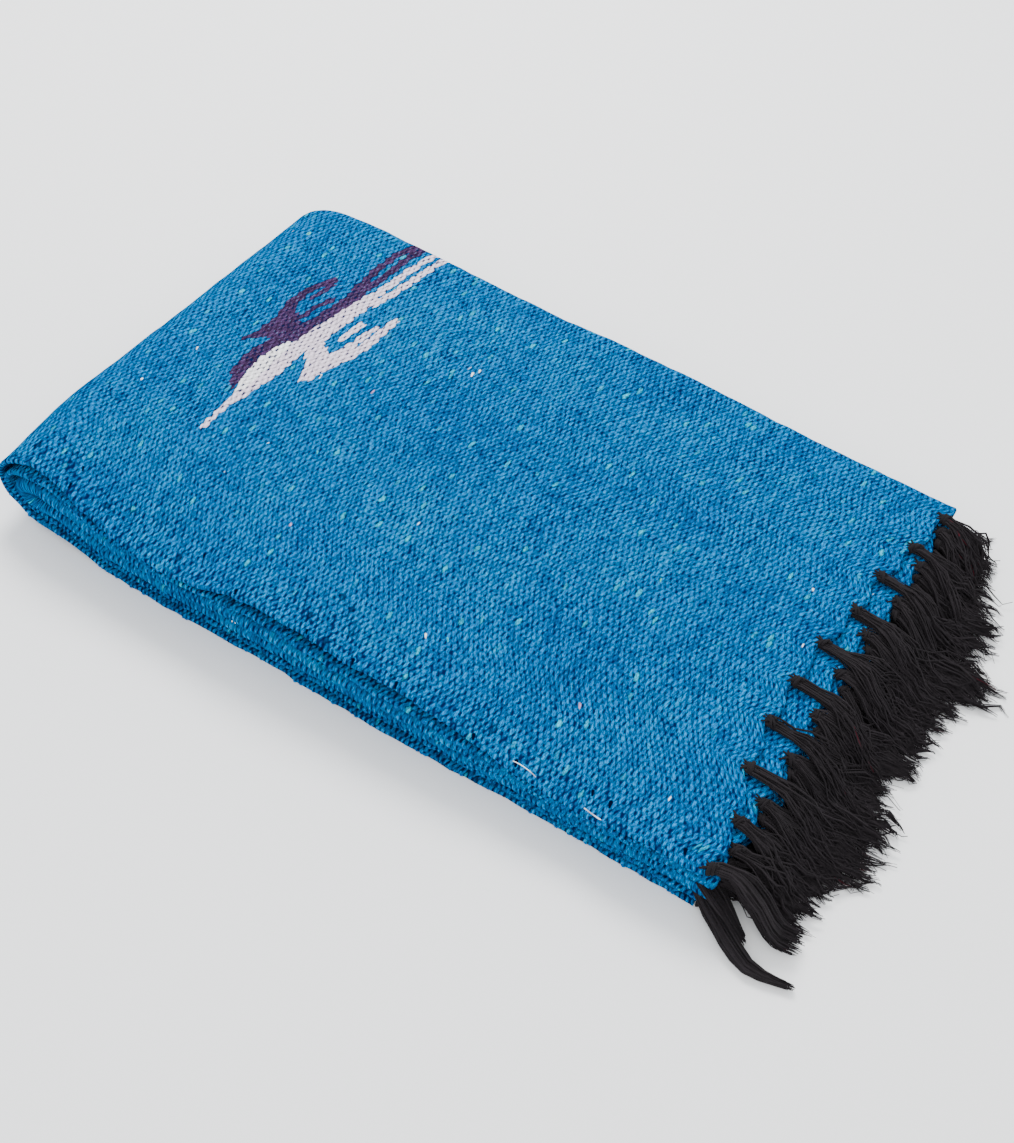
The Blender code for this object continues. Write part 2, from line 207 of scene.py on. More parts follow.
# Three locks at the near corner that keep together to a blunt end: x, y and height of their middle line
BLUNT_COLUMNS = ("x", "y", "z")
LINE_STOPS, STRAND_STOPS = 24, 12  # on the middle line of every lock, and on each of its strands
CORNER_LOCK = table(
    BLUNT_COLUMNS,
    (0.576, -0.168, 0.013),
    (0.598, -0.181, 0.012),
    (0.616, -0.192, 0.010),
    (0.634, -0.202, 0.006),
    (0.654, -0.209, 0.004),
    (0.679, -0.205, 0.004),
)
HEM_LOCK = table(
    BLUNT_COLUMNS,
    (0.580, -0.166, 0.020),
    (0.600, -0.178, 0.018),
    (0.618, -0.186, 0.012),
    (0.640, -0.196, 0.005),
)
BROAD_LOCK = table(
    BLUNT_COLUMNS,
    (0.604, -0.182, 0.042),
    (0.620, -0.177, 0.038),
    (0.639, -0.178, 0.022),
    (0.654, -0.182, 0.010),
    (0.670, -0.180, 0.007),
)

BLUNT_LOCKS = (
    ("corner_lock", CORNER_LOCK, 0.0025, 0.34),
    ("hem_lock", HEM_LOCK, 0.0030, 0.50),
    ("broad_lock", BROAD_LOCK, 0.0033, 1.0),
)  # name, middle line, width and the tip's share of it

# Settings of the strand tree for the blunt locks and for the fuzz among the long strands
BLUNT = {
    "Strands": 80,
    "Clumps": 1,
    "Clump Spread": 0.0,
    "Wave": 0.0020,
    "Stray": 0.0010,
    "Strand Radius": 0.0008,
    "Shortest": 0.97,
}
FUZZ = {
    "Strands": 6,
    "Clumps": 3,
    "Lock Width": 0.0034,
    "Tip Share": 0.30,
    "Clump Spread": 0.0080,
    "Wave": 0.0230,
    "Stray": 0.0032,
    "Strand Radius": 0.0007,
    "Shortest": 0.45,
}

# How finely the sheet is divided here: steps on each layer's run, in each bend and along the length
RUN_STEPS = (110, 40, 14, 14)
BEND_STEPS = {"outer": 11, "near": 9, "inner": 8}
LENGTH_STEPS = {"upper": 128, "turn": 20, "lower": 50}
RIM_STEPS = (0.0002, 0.0006, 0.0012, 0.0020, 0.0030)  # metres in from a free edge, for a round edge
RIM_ROUND = 0.0020

# Unevenness of the hand-woven edges: heights of the waves, and their lengths and starting places
EDGE_WAVE, BEND_WAVE, LAYER_WAVE, HEM_LOBE, HEM_WAVE = 0.0011, 0.0010, 0.0007, 0.0026, 0.0012
WAVES = table(
    ("length", "height", "start"),
    (0.0630, 0.34, 0.2),
    (0.0310, 0.30, 2.1),
    (0.0190, 0.22, 4.4),
    (0.0127, 0.14, 1.3),
)
FACE_WAVE = 0.00045
HEM_FROM = 0.92  # share of the length from where the tassels draw the cloth in

# How far the soft cloth swells out along the far bends and at the near end of the fold
FAR_SWELL, FOLD_SWELL = 0.0055, 0.0060

# The unfolded cloth, for the weave's own coordinates
FLAT_UPPER = 0.545  # from the hem that lies on top to the fold
FLAT_TURN = 0.110
FLAT_LOWER = 0.560

# Soft troughs and ridges on the upper face: middle, heading in degrees, half sizes, rise
CREASES = table(
    ("x", "y", "heading", "long", "wide", "rise"),
    (0.105, -0.120, 62, 0.070, 0.016, -0.0012),
    (0.150, -0.150, 20, 0.060, 0.012, 0.0010),
    (0.215, -0.165, 8, 0.050, 0.010, -0.0012),
    (0.300, 0.120, 80, 0.090, 0.020, 0.0009),
    (0.345, -0.090, 74, 0.100, 0.022, -0.0010),
    (0.430, 0.060, 84, 0.110, 0.020, 0.0010),
    (0.475, -0.120, 12, 0.070, 0.014, -0.0012),
    (0.540, 0.020, 88, 0.120, 0.016, -0.0013),
    (0.565, -0.130, 30, 0.050, 0.012, 0.0012),
    (0.200, 0.060, 100, 0.080, 0.022, 0.0008),
    (0.085, 0.110, 70, 0.060, 0.014, -0.0009),
)

# Where the photographed view stands
CAMERA_AZIMUTH, CAMERA_ELEVATION, CAMERA_ROLL = 32.227, 48.276, 1.605
CAMERA_DISTANCE = 1.1510
CAMERA_AIM = (0.3525, -0.0212)  # on the floor, in the pack's own x and y
IMAGE_HEIGHT = 1143
FOCAL_PIXELS = 1562.35
SENSOR = 36.0

# The floor and the studio's light
FLOOR_HALF, FLOOR_COLOR = 6.0, (0.92, 0.92, 0.92, 1.0)
SKY_COLOR, SKY_STRENGTH = (0.94, 0.97, 1.0, 1.0), 1.50
LAMPS = (
    ("key", (-0.9, 1.1, 1.9), 1.1, 68.0),
    ("fill", (0.9, -1.3, 1.6), 1.6, 18.0),
)  # name, place, width and power

# The woven bird: strokes of one yarn through stops of a, b and half width in millimetres, a along the
# cloth's width from the beak's tip and b across it towards the fringe
BIRD_PLACE = (0.120, -0.079)  # the beak's tip, in the pack's own x and y
BIRD = (
    ("plum", (46, -9, 2), (60, -16, 5), (77, -18, 7), (112, -12, 7), (134, -5, 6), (180, 1, 6), (197, 0, 4)),
    ("plum", (190, -3, 4), (219, -7, 3), (246, -5, 3), (264, 1, 4)),
    ("plum", (196, 3, 3), (240, 4, 3), (264, 7, 4)),
    ("plum", (91, -37, 1), (104, -30, 4)),
    ("plum", (104, -30, 5), (120, -23, 11), (136, -28, 7)),
    ("plum", (116, -18, 9), (126, -12, 9)),
    ("plum", (132, -30, 6), (149, -35, 4), (170, -33, 3), (189, -25, 3)),
    ("plum", (160, -26, 2), (183, -21, 2)),
    ("plum", (132, -20, 3), (148, -17, 2), (169, -12, 3)),
    ("pale", (2, 0, 2), (36, 0, 3), (50, 1, 6), (78, 2, 8), (111, 3, 7), (134, 6, 8), (186, 12, 6)),
    ("pale", (186, 11, 4), (237, 15, 3), (266, 19, 3)),
    ("pale", (184, 17, 3), (202, 21, 3), (265, 28, 3)),
    ("pale", (83, 27, 1), (93, 29, 5), (108, 26, 10), (120, 12, 8)),
    ("pale", (106, 31, 6), (124, 38, 5), (140, 42, 4), (180, 43, 3)),
    ("pale", (122, 32, 5), (142, 34, 3), (167, 36, 2)),
    ("pale", (139, 23, 2), (161, 25, 3)),
    ("white", (48, -3, 3), (63, -5, 5), (82, -7, 6), (110, -6, 3)),
)

# The weave: how pointed a float is, how much its height differs from others', and how far noise bends
# the warps, in floats, and the weft's rows, in rows
FLOAT_POINTED = 1.10
FLOAT_UNEVEN, FLOAT_LEAST = 0.45, 0.78
QUICK_DRIFT_U, SLOW_DRIFT_V = 0.35, 4.0
BIRD_STEPPED = 0.42  # 0 steps the bird's outline by whole floats, 1 not at all
MISSING_FLOATS = 0.014  # chance of a missing float at a selvedge
MISSING_DEPTH = 0.75

# Small slubs of other yarn caught in the weave, in the pack's own x and y. The tint counts
# white, sky and green from 0.
STROKE_SLANT = 0.0006  # slubs and holes lie a little askew
SLUBS = table(
    ("x", "y", "long", "wide", "tint"),
    (0.2476, 0.0846, 0.0034, 0.0013, 0),
    (0.2501, 0.0906, 0.0026, 0.0012, 0),
    (0.0620, -0.0160, 0.0026, 0.0011, 0),
    (0.3665, -0.1425, 0.0028, 0.0012, 0),
    (0.3800, -0.1360, 0.0026, 0.0010, 1),
    (0.1560, 0.0160, 0.0040, 0.0010, 0),
    (0.4680, -0.0040, 0.0026, 0.0010, 2),
    (0.2040, -0.0480, 0.0024, 0.0010, 1),
    (0.5580, 0.0520, 0.0024, 0.0011, 0),
)

# Small gaps in the weave near the selvedge
HOLES = table(
    ("x", "y", "long", "wide"),
    (0.078, -0.161, 0.0022, 0.0013),
    (0.082, -0.178, 0.0036, 0.0014),
    (0.198, -0.169, 0.0030, 0.0013),
    (0.241, -0.186, 0.0026, 0.0017),
    (0.301, -0.186, 0.0020, 0.0014),
    (0.340, -0.187, 0.0028, 0.0017),
    (0.374, -0.186, 0.0034, 0.0015),
    (0.435, -0.187, 0.0028, 0.0017),
    (0.467, -0.186, 0.0034, 0.0016),
    (0.518, -0.176, 0.0026, 0.0015),
    (0.532, -0.178, 0.0038, 0.0016),
    (0.589, -0.183, 0.0028, 0.0018),
)

# Loose ends of yarn at the near edges: start and end in the pack's own x, y and height
LOOSE_ENDS = table(
    ("x0", "y0", "z0", "x1", "y1", "z1", "sag"),
    (0.520, -0.1900, 0.0430, 0.546, -0.1905, 0.0410, -0.0015),
    (0.466, -0.1880, 0.0475, 0.484, -0.1892, 0.0460, 0.0020),
    (0.236, -0.1893, 0.0300, 0.240, -0.1899, 0.0315, 0.0030),
)


# Curves and heights of the stack


def ease(t):
    t = np.clip(t, 0.0, 1.0)
    return t * t * (3 - 2 * t)


def along(rows, name, at, key="x"):
    """A column's value on a smooth curve through its rows."""
    xs, ys = rows[key], rows[name]
    slope = np.gradient(ys, xs)
    at = np.clip(at, xs[0], xs[-1])
    i = np.clip(np.searchsorted(xs, at, side="right") - 1, 0, len(xs) - 2)
    step = xs[i + 1] - xs[i]
    t = (at - xs[i]) / step
    rise = (3 - 2 * t) * t * t
    return (
        ys[i] * (1 - rise)
        + ys[i + 1] * rise
        + step * slope[i] * t * (1 - t) ** 2
        - step * slope[i + 1] * t * t * (1 - t)
    )


def waves(at, seed):
    """An uneven line, between about -1 and 1, that differs with the seed."""
    total = 0.0
    for length, height, start in zip(*WAVES.values()):
        total = total + height * np.sin(2 * math.pi * at / length + start * (seed + 1) + 1.9 * seed)
    return total


def creases(x, y):
    """Height that the hand-placed troughs and ridges add to the upper face."""
    total = 0.0
    for cx, cy, heading, long, wide, rise in zip(*CREASES.values()):
        c, s = math.cos(math.radians(heading)), math.sin(math.radians(heading))
        a, b = (x - cx) * c + (y - cy) * s, (y - cy) * c - (x - cx) * s
        total = total + rise * np.exp(-((a / long) ** 2) - (b / wide) ** 2)
    uneven = waves(0.8 * x + 0.5 * y, 3) + waves(0.7 * y - 0.4 * x, 8)
    return total + FACE_WAVE * uneven


def top_height(x, y):
    """Height of the pack's upper face over the floor."""
    v = y / (PACK_WIDTH / 2)
    near, middle, far = (along(HEIGHTS, name, x) for name in ("near", "middle", "far"))
    to_near = np.clip(-v, 0.0, 1.1) ** EDGE_POWER
    to_far = np.clip(v, 0.0, 1.1) ** EDGE_POWER
    return middle + (near - middle) * to_near + (far - middle) * to_far


def fold_lift(x, y):
    """How far the underside is off the floor beside the fold."""
    across = FOLD_LIFT_FAR + (1 - FOLD_LIFT_FAR) * ease((0.06 - y) / 0.25)
    return FOLD_LIFT * across * ease((FOLD_LIFT_FROM - x) / FOLD_LIFT_RUN)


def level_height(level, x, y):
    """Middle height of one of the eight layers, away from the turn."""
    shares = [along(GAPS, name, x) for name in GAP_NAMES]
    below = sum(shares[:level]) if level else 0.0
    lift = fold_lift(x, y)
    free = top_height(x, y) - LAYERS * CLOTH_THICK - lift
    soft = creases(x, y) * (level / (LAYERS - 1)) ** 2
    side = np.clip(np.abs(y) / (PACK_WIDTH / 2), 0, 1) ** 4
    soft = soft + LAYER_WAVE * side * waves(x, level) * (level not in (0, LAYERS - 1))
    return CLOTH_THICK / 2 + lift + level * CLOTH_THICK + free * below / sum(shares) + soft


def fold_start(y):
    """Where the layers leave their levels and turn over."""
    return TURN_START + TURN_START_NEAR * ease((NEAR_CORNER_Y - y) / (PACK_WIDTH / 2 + NEAR_CORNER_Y))


def near_end(level, x):
    """Where a layer's flat run ends on the near side."""
    y = -PACK_WIDTH / 2 + along(INSETS, NEAR_EDGE[level], x) / 1000
    if level in (0, 1, 6, 7):
        return y + EDGE_WAVE * waves(x, level)
    upper = 5 if level > 3 else 3
    y = y + BEND_WAVE * waves(x, upper)
    half = (level_height(upper, x, y) - level_height(upper - 1, x, y)) / 2
    return y + CLOTH_THICK / 2 + half


def far_end(level, x):
    """Where a layer's flat run ends on the far side."""
    y = PACK_WIDTH / 2
    base = 4 if level > 3 else 0
    if level - base in (0, 3):
        half = (level_height(base + 3, x, y) - level_height(base, x, y)) / 2
        return y - CLOTH_THICK / 2 - OUTER_BEND * half
    half = (level_height(base + 2, x, y) - level_height(base + 1, x, y)) / 2
    return y - CLOTH_THICK / 2 - INNER_SETBACK - half


def hem_at(part, layer, y):
    """Where a layer ends at the fringe."""
    rows = HEM_UPPER if part == "upper" else HEM_LOWER
    return along(rows, f"layer_{layer}", y, "y")


def hem_drawn(layer, y):
    """How far a tassel draws the hem in, or a lobe between tassels lets it out."""
    first, pitch = TASSELS["first"][layer], TASSELS["pitch"][layer]
    return HEM_LOBE * np.cos(2 * math.pi * (y - first) / pitch) + HEM_WAVE * waves(y, layer)


def layer_point(layer, across, part, step):
    """Middle of the cloth on one layer's flat run, across being 0 near and 1 far."""
    level = {"upper": LAYERS - 1 - layer, "lower": layer}
    nominal = (across - 0.5) * PACK_WIDTH
    start = fold_start(nominal)
    if part != "turn":
        near_hem = float(ease((step - HEM_FROM) / (1 - HEM_FROM)))
        x = start + step * (hem_at(part, layer, nominal) - start) - near_hem * hem_drawn(layer, nominal)
        near, far = near_end(level[part], x), far_end(level[part], x)
        y = near + across * (far - near)
        return np.stack([x, y, level_height(level[part], x, y)], axis=-1)
    x = start - TURN_REACH[layer] * math.cos(step)
    rise = math.sin(step)
    share = (1 + rise) / 2
    near = share * near_end(level["upper"], x) + (1 - share) * near_end(level["lower"], x)
    far = share * far_end(level["upper"], x) + (1 - share) * far_end(level["lower"], x)
    y = near + across * (far - near)
    upper = level_height(level["upper"], start, y)
    lower = level_height(level["lower"], start, y)
    z = (upper + lower) / 2 + (upper - lower) / 2 * rise
    return np.stack([x, y, z], axis=-1)


def bend(first, last, bulge, steps):
    """Points of a half round from one run's end to another's, without the ends themselves."""
    angle = np.linspace(0.0, math.pi, steps + 1)[1:-1, None]
    middle, arm = (first + last) / 2, (first - last) / 2
    out = np.array([0.0, bulge * np.linalg.norm(arm), 0.0])
    return middle + arm * np.cos(angle) + out * np.sin(angle)


def across_stops(layer):
    """Places along a layer's run, closer together at a free edge."""
    even = np.linspace(0.0, 1.0, RUN_STEPS[layer] + 1)
    if layer not in (0, 1):
        return even
    rim = np.array(RIM_STEPS) / PACK_WIDTH
    return np.concatenate([[0.0], rim, even[even > rim[-1] * 1.5]])


def section(part, step):
    """The middle line of the folded sheet at one place along its length, edge to edge."""
    runs = [layer_point(layer, across_stops(layer), part, step) for layer in range(WIDTH_LAYERS)]
    rows = [runs[0]]
    rows.append(bend(runs[0][-1], runs[3][-1], +OUTER_BEND, BEND_STEPS["outer"]))
    rows.append(runs[3][::-1])
    rows.append(bend(runs[3][0], runs[2][0], -1.0, BEND_STEPS["near"]))
    rows.append(runs[2])
    rows.append(bend(runs[2][-1], runs[1][-1], +1.0, BEND_STEPS["inner"]))
    rows.append(runs[1][::-1])
    return np.concatenate(rows)


def length_stations():
    """Each row's part of the cloth, its step there and its place along the unfolded cloth."""
    up_rim = [1 - rim / FLAT_UPPER for rim in RIM_STEPS]
    up = [1.0, *up_rim, *np.linspace(1.0, 0.0, LENGTH_STEPS["upper"] + 1)[1:]]
    low_rim = [1 - rim / FLAT_LOWER for rim in reversed(RIM_STEPS)]
    low = [*np.linspace(0.0, 1.0, LENGTH_STEPS["lower"] + 1)[:-1], *low_rim, 1.0]
    turn = np.linspace(0.0, 1.0, LENGTH_STEPS["turn"] + 1)[1:-1]
    rows = [("upper", step, (1 - step) * FLAT_UPPER) for step in up]
    rows += [("turn", math.pi * (0.5 - t), FLAT_UPPER + t * FLAT_TURN) for t in turn]
    return rows + [("lower", step, FLAT_UPPER + FLAT_TURN + step * FLAT_LOWER) for step in low]


def surface_normals(grid):
    """Unit normals of a grid of points, across rows and columns."""
    normal = np.cross(np.gradient(grid, axis=0), np.gradient(grid, axis=1))
    return normal / np.linalg.norm(normal, axis=-1, keepdims=True)


def rounded(distance):
    """Share of the cloth's thickness at a distance from its free edge."""
    inside = np.clip(distance / RIM_ROUND, 0.0, 1.0)
    return np.sqrt(np.clip(1 - (1 - inside) ** 2, 0.02, 1.0))


class FoldedSheet:
    """The folded cloth: its middle surface, its normals and its flat coordinates."""

    def __init__(self):
        self.stations = length_stations()
        self.middle = np.array([section(part, step) for part, step, _ in self.stations])
        self.normal = surface_normals(self.middle)
        sample = self.middle[len(self.middle) // 4]
        steps = np.linalg.norm(np.diff(sample, axis=0), axis=-1)
        self.u = np.concatenate([[0.0], np.cumsum(steps)])
        self.v = np.array([v for _, _, v in self.stations])
        self.width, self.length = float(self.u[-1]), float(self.v[-1])
        self.shift = self.place()
        self.swell()

    def swell(self):
        """Lets the cloth out a little along the far bends and at the near end of the fold."""
        x, y = self.middle[..., 0].copy(), self.middle[..., 1].copy()
        along_far = ease((x + 0.02) / 0.10) * (1 - 0.6 * ease((x - 0.40) / 0.20))
        self.middle[..., 1] += FAR_SWELL * ease(y / 0.19) * along_far
        self.middle[..., 0] -= FOLD_SWELL * ease((0.060 - x) / 0.060) * ease((-0.06 - y) / 0.10)

    def place(self):
        """From the pack's own coordinates to the frame, by the part's own cloth."""
        low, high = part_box("cloth")
        own_low, own_high = self.middle.min(axis=(0, 1)), self.middle.max(axis=(0, 1))
        half = CLOTH_THICK / 2
        return np.array([low[0] - (own_low[0] - half), high[1] - (own_high[1] + half), 0.0])

    def thickness(self):
        edge_u = np.minimum(self.u, self.width - self.u)
        edge_v = np.minimum(self.v, self.length - self.v)
        return CLOTH_THICK * rounded(edge_u)[None, :] * rounded(edge_v)[:, None]


@functools.cache
def folded_sheet():
    return FoldedSheet()


# Meshes


def mesh_object(name, verts, faces, uvs=None):
    """A smooth object from arrays of points and faces, with a UV for each point if given."""
    mesh = bpy.data.meshes.new(name)
    mesh.from_pydata(verts.tolist(), [], faces)
    if uvs is not None:
        layer = mesh.uv_layers.new(name="weave")
        corner = np.empty(len(mesh.loops), dtype=np.int32)
        mesh.loops.foreach_get("vertex_index", corner)
        layer.data.foreach_set("uv", uvs[corner].astype(np.float32).ravel())
    mesh.shade_smooth()
    return linked(name, mesh)


def linked(name, data):
    """A new object of the scene."""
    made = bpy.data.objects.new(name, data)
    bpy.context.scene.collection.objects.link(made)
    return made


def closed_sheet(sheet):
    """Points, faces and flat coordinates of the sheet with its thickness, closed round its rim."""
    rows, columns = sheet.middle.shape[:2]
    offset = sheet.normal * sheet.thickness()[..., None] / 2
    outer, inner = sheet.middle + offset, sheet.middle - offset
    verts = np.concatenate([outer.reshape(-1, 3), inner.reshape(-1, 3)]) + sheet.shift
    verts[:, 2] = np.maximum(verts[:, 2], 0.0)
    flat = np.stack(np.meshgrid(sheet.u, sheet.v), axis=-1).reshape(-1, 2)
    index = np.arange(rows * columns).reshape(rows, columns)
    a, b = index[:-1, :-1].ravel(), index[:-1, 1:].ravel()
    c, d = index[1:, 1:].ravel(), index[1:, :-1].ravel()
    count = rows * columns
    faces = np.stack([a, d, c, b], axis=1).tolist()
    faces += np.stack([a + count, b + count, c + count, d + count], axis=1).tolist()
    rim = [*index[0, :], *index[1:, -1], *index[-1, -2::-1], *index[-2:0:-1, 0]]
    for p, q in zip(rim, rim[1:] + rim[:1]):
        faces.append((int(p), int(q), int(q + count), int(p + count)))
    return verts, faces, np.concatenate([flat, flat])


def face_outwards(made):
    """Turns a closed mesh's faces to point out of it."""
    mesh = made.data
    mesh.calc_loop_triangles()
    points = np.empty(len(mesh.vertices) * 3)
    mesh.vertices.foreach_get("co", points)
    points = points.reshape(-1, 3)
    corners = np.empty(len(mesh.loop_triangles) * 3, dtype=np.int32)
    mesh.loop_triangles.foreach_get("vertices", corners)
    a, b, c = points[corners.reshape(-1, 3)].transpose(1, 0, 2)
    if np.einsum("ij,ij->i", a, np.cross(b, c)).sum() < 0:
        mesh.flip_normals()


# Materials, written as formulas on node sockets


class Wire:
    """One node's output, ready for use in a formula."""

    def __init__(self, tree, socket):
        self.tree, self.socket = tree, socket

    def math(self, operation, *others):
        return self.tree.math(operation, self, *others)

    def __add__(self, other):
        return self.math("ADD", other)

    def __sub__(self, other):
        return self.math("SUBTRACT", other)

    def __mul__(self, other):
        return self.math("MULTIPLY", other)

    def __truediv__(self, other):
        return self.math("DIVIDE", other)

    def __pow__(self, other):
        return self.math("POWER", other)


class Tree:
    """Adds nodes to a node tree and links them."""

    def __init__(self, tree):
        self.tree = tree

    def node(self, kind, inputs=None, **settings):
        made = self.tree.nodes.new(kind)
        for name, value in settings.items():
            setattr(made, name, value)
        for name, value in (inputs or {}).items():
            self.put(made.inputs[name], value)
        return made

    def put(self, socket, value):
        if isinstance(value, Wire):
            self.tree.links.new(value.socket, socket)
        else:
            socket.default_value = value

    def out(self, made, name=0):
        return Wire(self, made.outputs[name])

    def math(self, operation, *values):
        made = self.node("ShaderNodeMath", operation=operation)
        for socket, value in zip(made.inputs, values):
            self.put(socket, value)
        return self.out(made)

    def vector(self, operation, *values, result="Vector"):
        made = self.node("ShaderNodeVectorMath", operation=operation)
        sockets = [made.inputs[k] for k in range(3)]
        if operation == "SCALE":
            sockets[1] = made.inputs["Scale"]
        for socket, value in zip(sockets, values):
            self.put(socket, value)
        return self.out(made, result)

    def combine(self, x, y, z=0.0):
        return self.out(self.node("ShaderNodeCombineXYZ", {"X": x, "Y": y, "Z": z}))

    def separate(self, vector):
        made = self.node("ShaderNodeSeparateXYZ", {"Vector": vector})
        return [self.out(made, name) for name in "XYZ"]

    def noise(self, vector, scale, detail=2.0, roughness=0.5, color=False):
        made = self.node("ShaderNodeTexNoise", {"Vector": vector, "Scale": scale, "Detail": detail})
        made.inputs["Roughness"].default_value = roughness
        return self.out(made, "Color" if color else 0)

    def chance(self, vector):
        """One random value, and a vector of three, for each different vector."""
        made = self.node("ShaderNodeTexWhiteNoise", {"Vector": vector}, noise_dimensions="3D")
        return self.out(made, "Value"), self.out(made, "Color")

    def smooth(self, value, low, high, to_low=0.0, to_high=1.0):
        """A number that eases from one value to another while the given one goes from low to high."""
        names = ("Value", "From Min", "From Max", "To Min", "To Max")
        inputs = dict(zip(names, (value, low, high, to_low, to_high)))
        return self.out(self.node("ShaderNodeMapRange", inputs, interpolation_type="SMOOTHSTEP"))

    def mix(self, factor, first, second, blend="MIX"):
        made = self.node("ShaderNodeMix", data_type="RGBA", blend_type=blend)
        for socket, value in ((made.inputs[0], factor), (made.inputs[6], first), (made.inputs[7], second)):
            self.put(socket, value)
        return Wire(self, made.outputs[2])

    def pick(self, factor, first, second):
        """A plain number between two others."""
        made = self.node("ShaderNodeMix", data_type="FLOAT")
        for socket, value in zip(made.inputs[:4], (factor, None, first, second)):
            if value is not None:
                self.put(socket, value)
        return self.out(made)


def new_group(name, inputs, outputs):
    """An empty shader node group, its input wires by name and its output node."""
    group = bpy.data.node_groups.new(name, "ShaderNodeTree")
    for way, sockets in (("INPUT", inputs), ("OUTPUT", outputs)):
        for label, kind in sockets.items():
            group.interface.new_socket(label, in_out=way, socket_type=f"NodeSocket{kind}")
    tree = Tree(group)
    given = tree.node("NodeGroupInput")
    result = tree.node("NodeGroupOutput")
    return group, tree, {label: tree.out(given, label) for label in inputs}, result


def float_group():
    """One family of weft floats: each crosses over one warp and shows as a plump low mound."""
    inputs, outputs = {"Along": "Float", "Rows": "Float"}, {"Height": "Float", "Middle": "Vector"}
    group, t, given, result = new_group("weft_floats", inputs, outputs)
    middle_u, middle_v = given["Along"].math("ROUND"), given["Rows"].math("ROUND")
    off_u, off_v = given["Along"] - middle_u, given["Rows"] - middle_v
    long = (off_u * math.pi).math("COSINE").math("MAXIMUM", 0.0) ** FLOAT_POINTED
    wide = (off_v * math.pi).math("COSINE").math("MAXIMUM", 0.0)
    t.put(result.inputs["Height"], long * wide)
    t.put(result.inputs["Middle"], t.combine(middle_u, middle_v))
    return group


def stroke_group():
    """How far a point lies inside one tapering stroke, negative outside it."""
    places, widths = ("Point", "Start", "End"), ("Start Width", "End Width")
    inputs = dict.fromkeys(places, "Vector") | dict.fromkeys(widths, "Float")
    group, t, given, result = new_group("yarn_stroke", inputs, {"Inside": "Float"})
    reach = t.vector("SUBTRACT", given["End"], given["Start"])
    offset = t.vector("SUBTRACT", given["Point"], given["Start"])
    share = t.vector("DOT_PRODUCT", offset, reach, result="Value")
    share = share / t.vector("DOT_PRODUCT", reach, reach, result="Value")
    share = share.math("MAXIMUM", 0.0).math("MINIMUM", 1.0)
    nearest = t.vector("SUBTRACT", offset, t.vector("SCALE", reach, share))
    width = given["Start Width"] + (given["End Width"] - given["Start Width"]) * share
    t.put(result.inputs["Inside"], width - t.vector("LENGTH", nearest, result="Value"))
    return group


def inside_stroke(t, group, *values):
    """The group's result at a point, from a start to an end, with the half widths there."""
    made = t.node("ShaderNodeGroup", node_tree=group)
    for socket, value in zip(made.inputs, values):
        t.put(socket, value)
    return t.out(made)


def bird_masks(t, point):
    """For each yarn of the bird, 1 where a float at the point is woven in it."""
    group = stroke_group()
    masks = {}
    for color, *stops in BIRD:
        for (a0, b0, wide0), (a1, b1, wide1) in zip(stops, stops[1:]):
            start, end = (a0, b0, 0.0), (a1, b1, 0.0)
            inside = inside_stroke(t, group, point, start, end, float(wide0), float(wide1))
            masks[color] = masks[color].math("MAXIMUM", inside) if color in masks else inside
    return {color: inside.math("GREATER_THAN", 0.0) for color, inside in masks.items()}


def principled(name, constants):
    """A new material, its tree and its main shader with the constants set on the shader's sockets."""
    made = bpy.data.materials.new(name)
    made.use_nodes = True
    shader = made.node_tree.nodes["Principled BSDF"]
    for socket, value in constants.items():
        shader.inputs[socket].default_value = value
    return made, Tree(made.node_tree), shader


def raise_surface(t, shader, height, strength, distance):
    bump = t.node("ShaderNodeBump", {"Height": height, "Strength": strength, "Distance": distance})
    t.put(shader.inputs["Normal"], t.out(bump))


def top_place(sheet, x, y):
    """Flat coordinates of a place on the upper face."""
    near, far = float(near_end(LAYERS - 1, x)), float(far_end(LAYERS - 1, x))
    start, hem = float(fold_start(y)), float(hem_at("upper", 0, y))
    run = sheet.u[len(across_stops(0)) - 1]
    return float((y - near) / (far - near) * run), float(FLAT_UPPER * (1 - (x - start) / (hem - start)))


def weave_floats(t, uv, sizes):
    """Both families of weft floats: their height, the float's own middle and its random values."""
    u, v, _ = t.separate(uv)
    slow = t.separate(t.noise(uv, 24.0, detail=2.0, color=True))
    quick = t.separate(t.noise(uv, 190.0, detail=1.0, color=True))
    drift_u = (slow[0] - 0.5) + (quick[0] - 0.5) * QUICK_DRIFT_U
    drift_v = (slow[1] - 0.5) * SLOW_DRIFT_V + (quick[1] - 0.5)
    floats_u = u / (2 * sizes.warp_pitch) + drift_u
    rows_v = (v / sizes.weft_pitch + drift_v) * 0.5
    group = float_group()
    heights, middles, chances = [], [], []
    for half in (0.0, 0.5):
        row = t.node("ShaderNodeGroup", node_tree=group)
        t.put(row.inputs["Along"], floats_u + half)
        t.put(row.inputs["Rows"], rows_v + half)
        middle = t.vector("SUBTRACT", t.out(row, "Middle"), (half, half, 0.0))
        chance = t.chance(middle)
        middles.append(middle)
        chances.append(chance)
        heights.append(t.out(row, "Height") * (chance[0] * FLOAT_UNEVEN + FLOAT_LEAST))
    upper = heights[1].math("GREATER_THAN", heights[0])
    middle_u, middle_v, _ = t.separate(t.mix(upper, middles[0], middles[1]))
    home_u = (middle_u - drift_u) * (2 * sizes.warp_pitch)
    home_v = (middle_v * 2.0 - drift_v) * sizes.weft_pitch
    lucks = t.mix(upper, chances[0][1], chances[1][1])
    return heights[0].math("MAXIMUM", heights[1]), home_u, home_v, middle_v, t.separate(lucks)


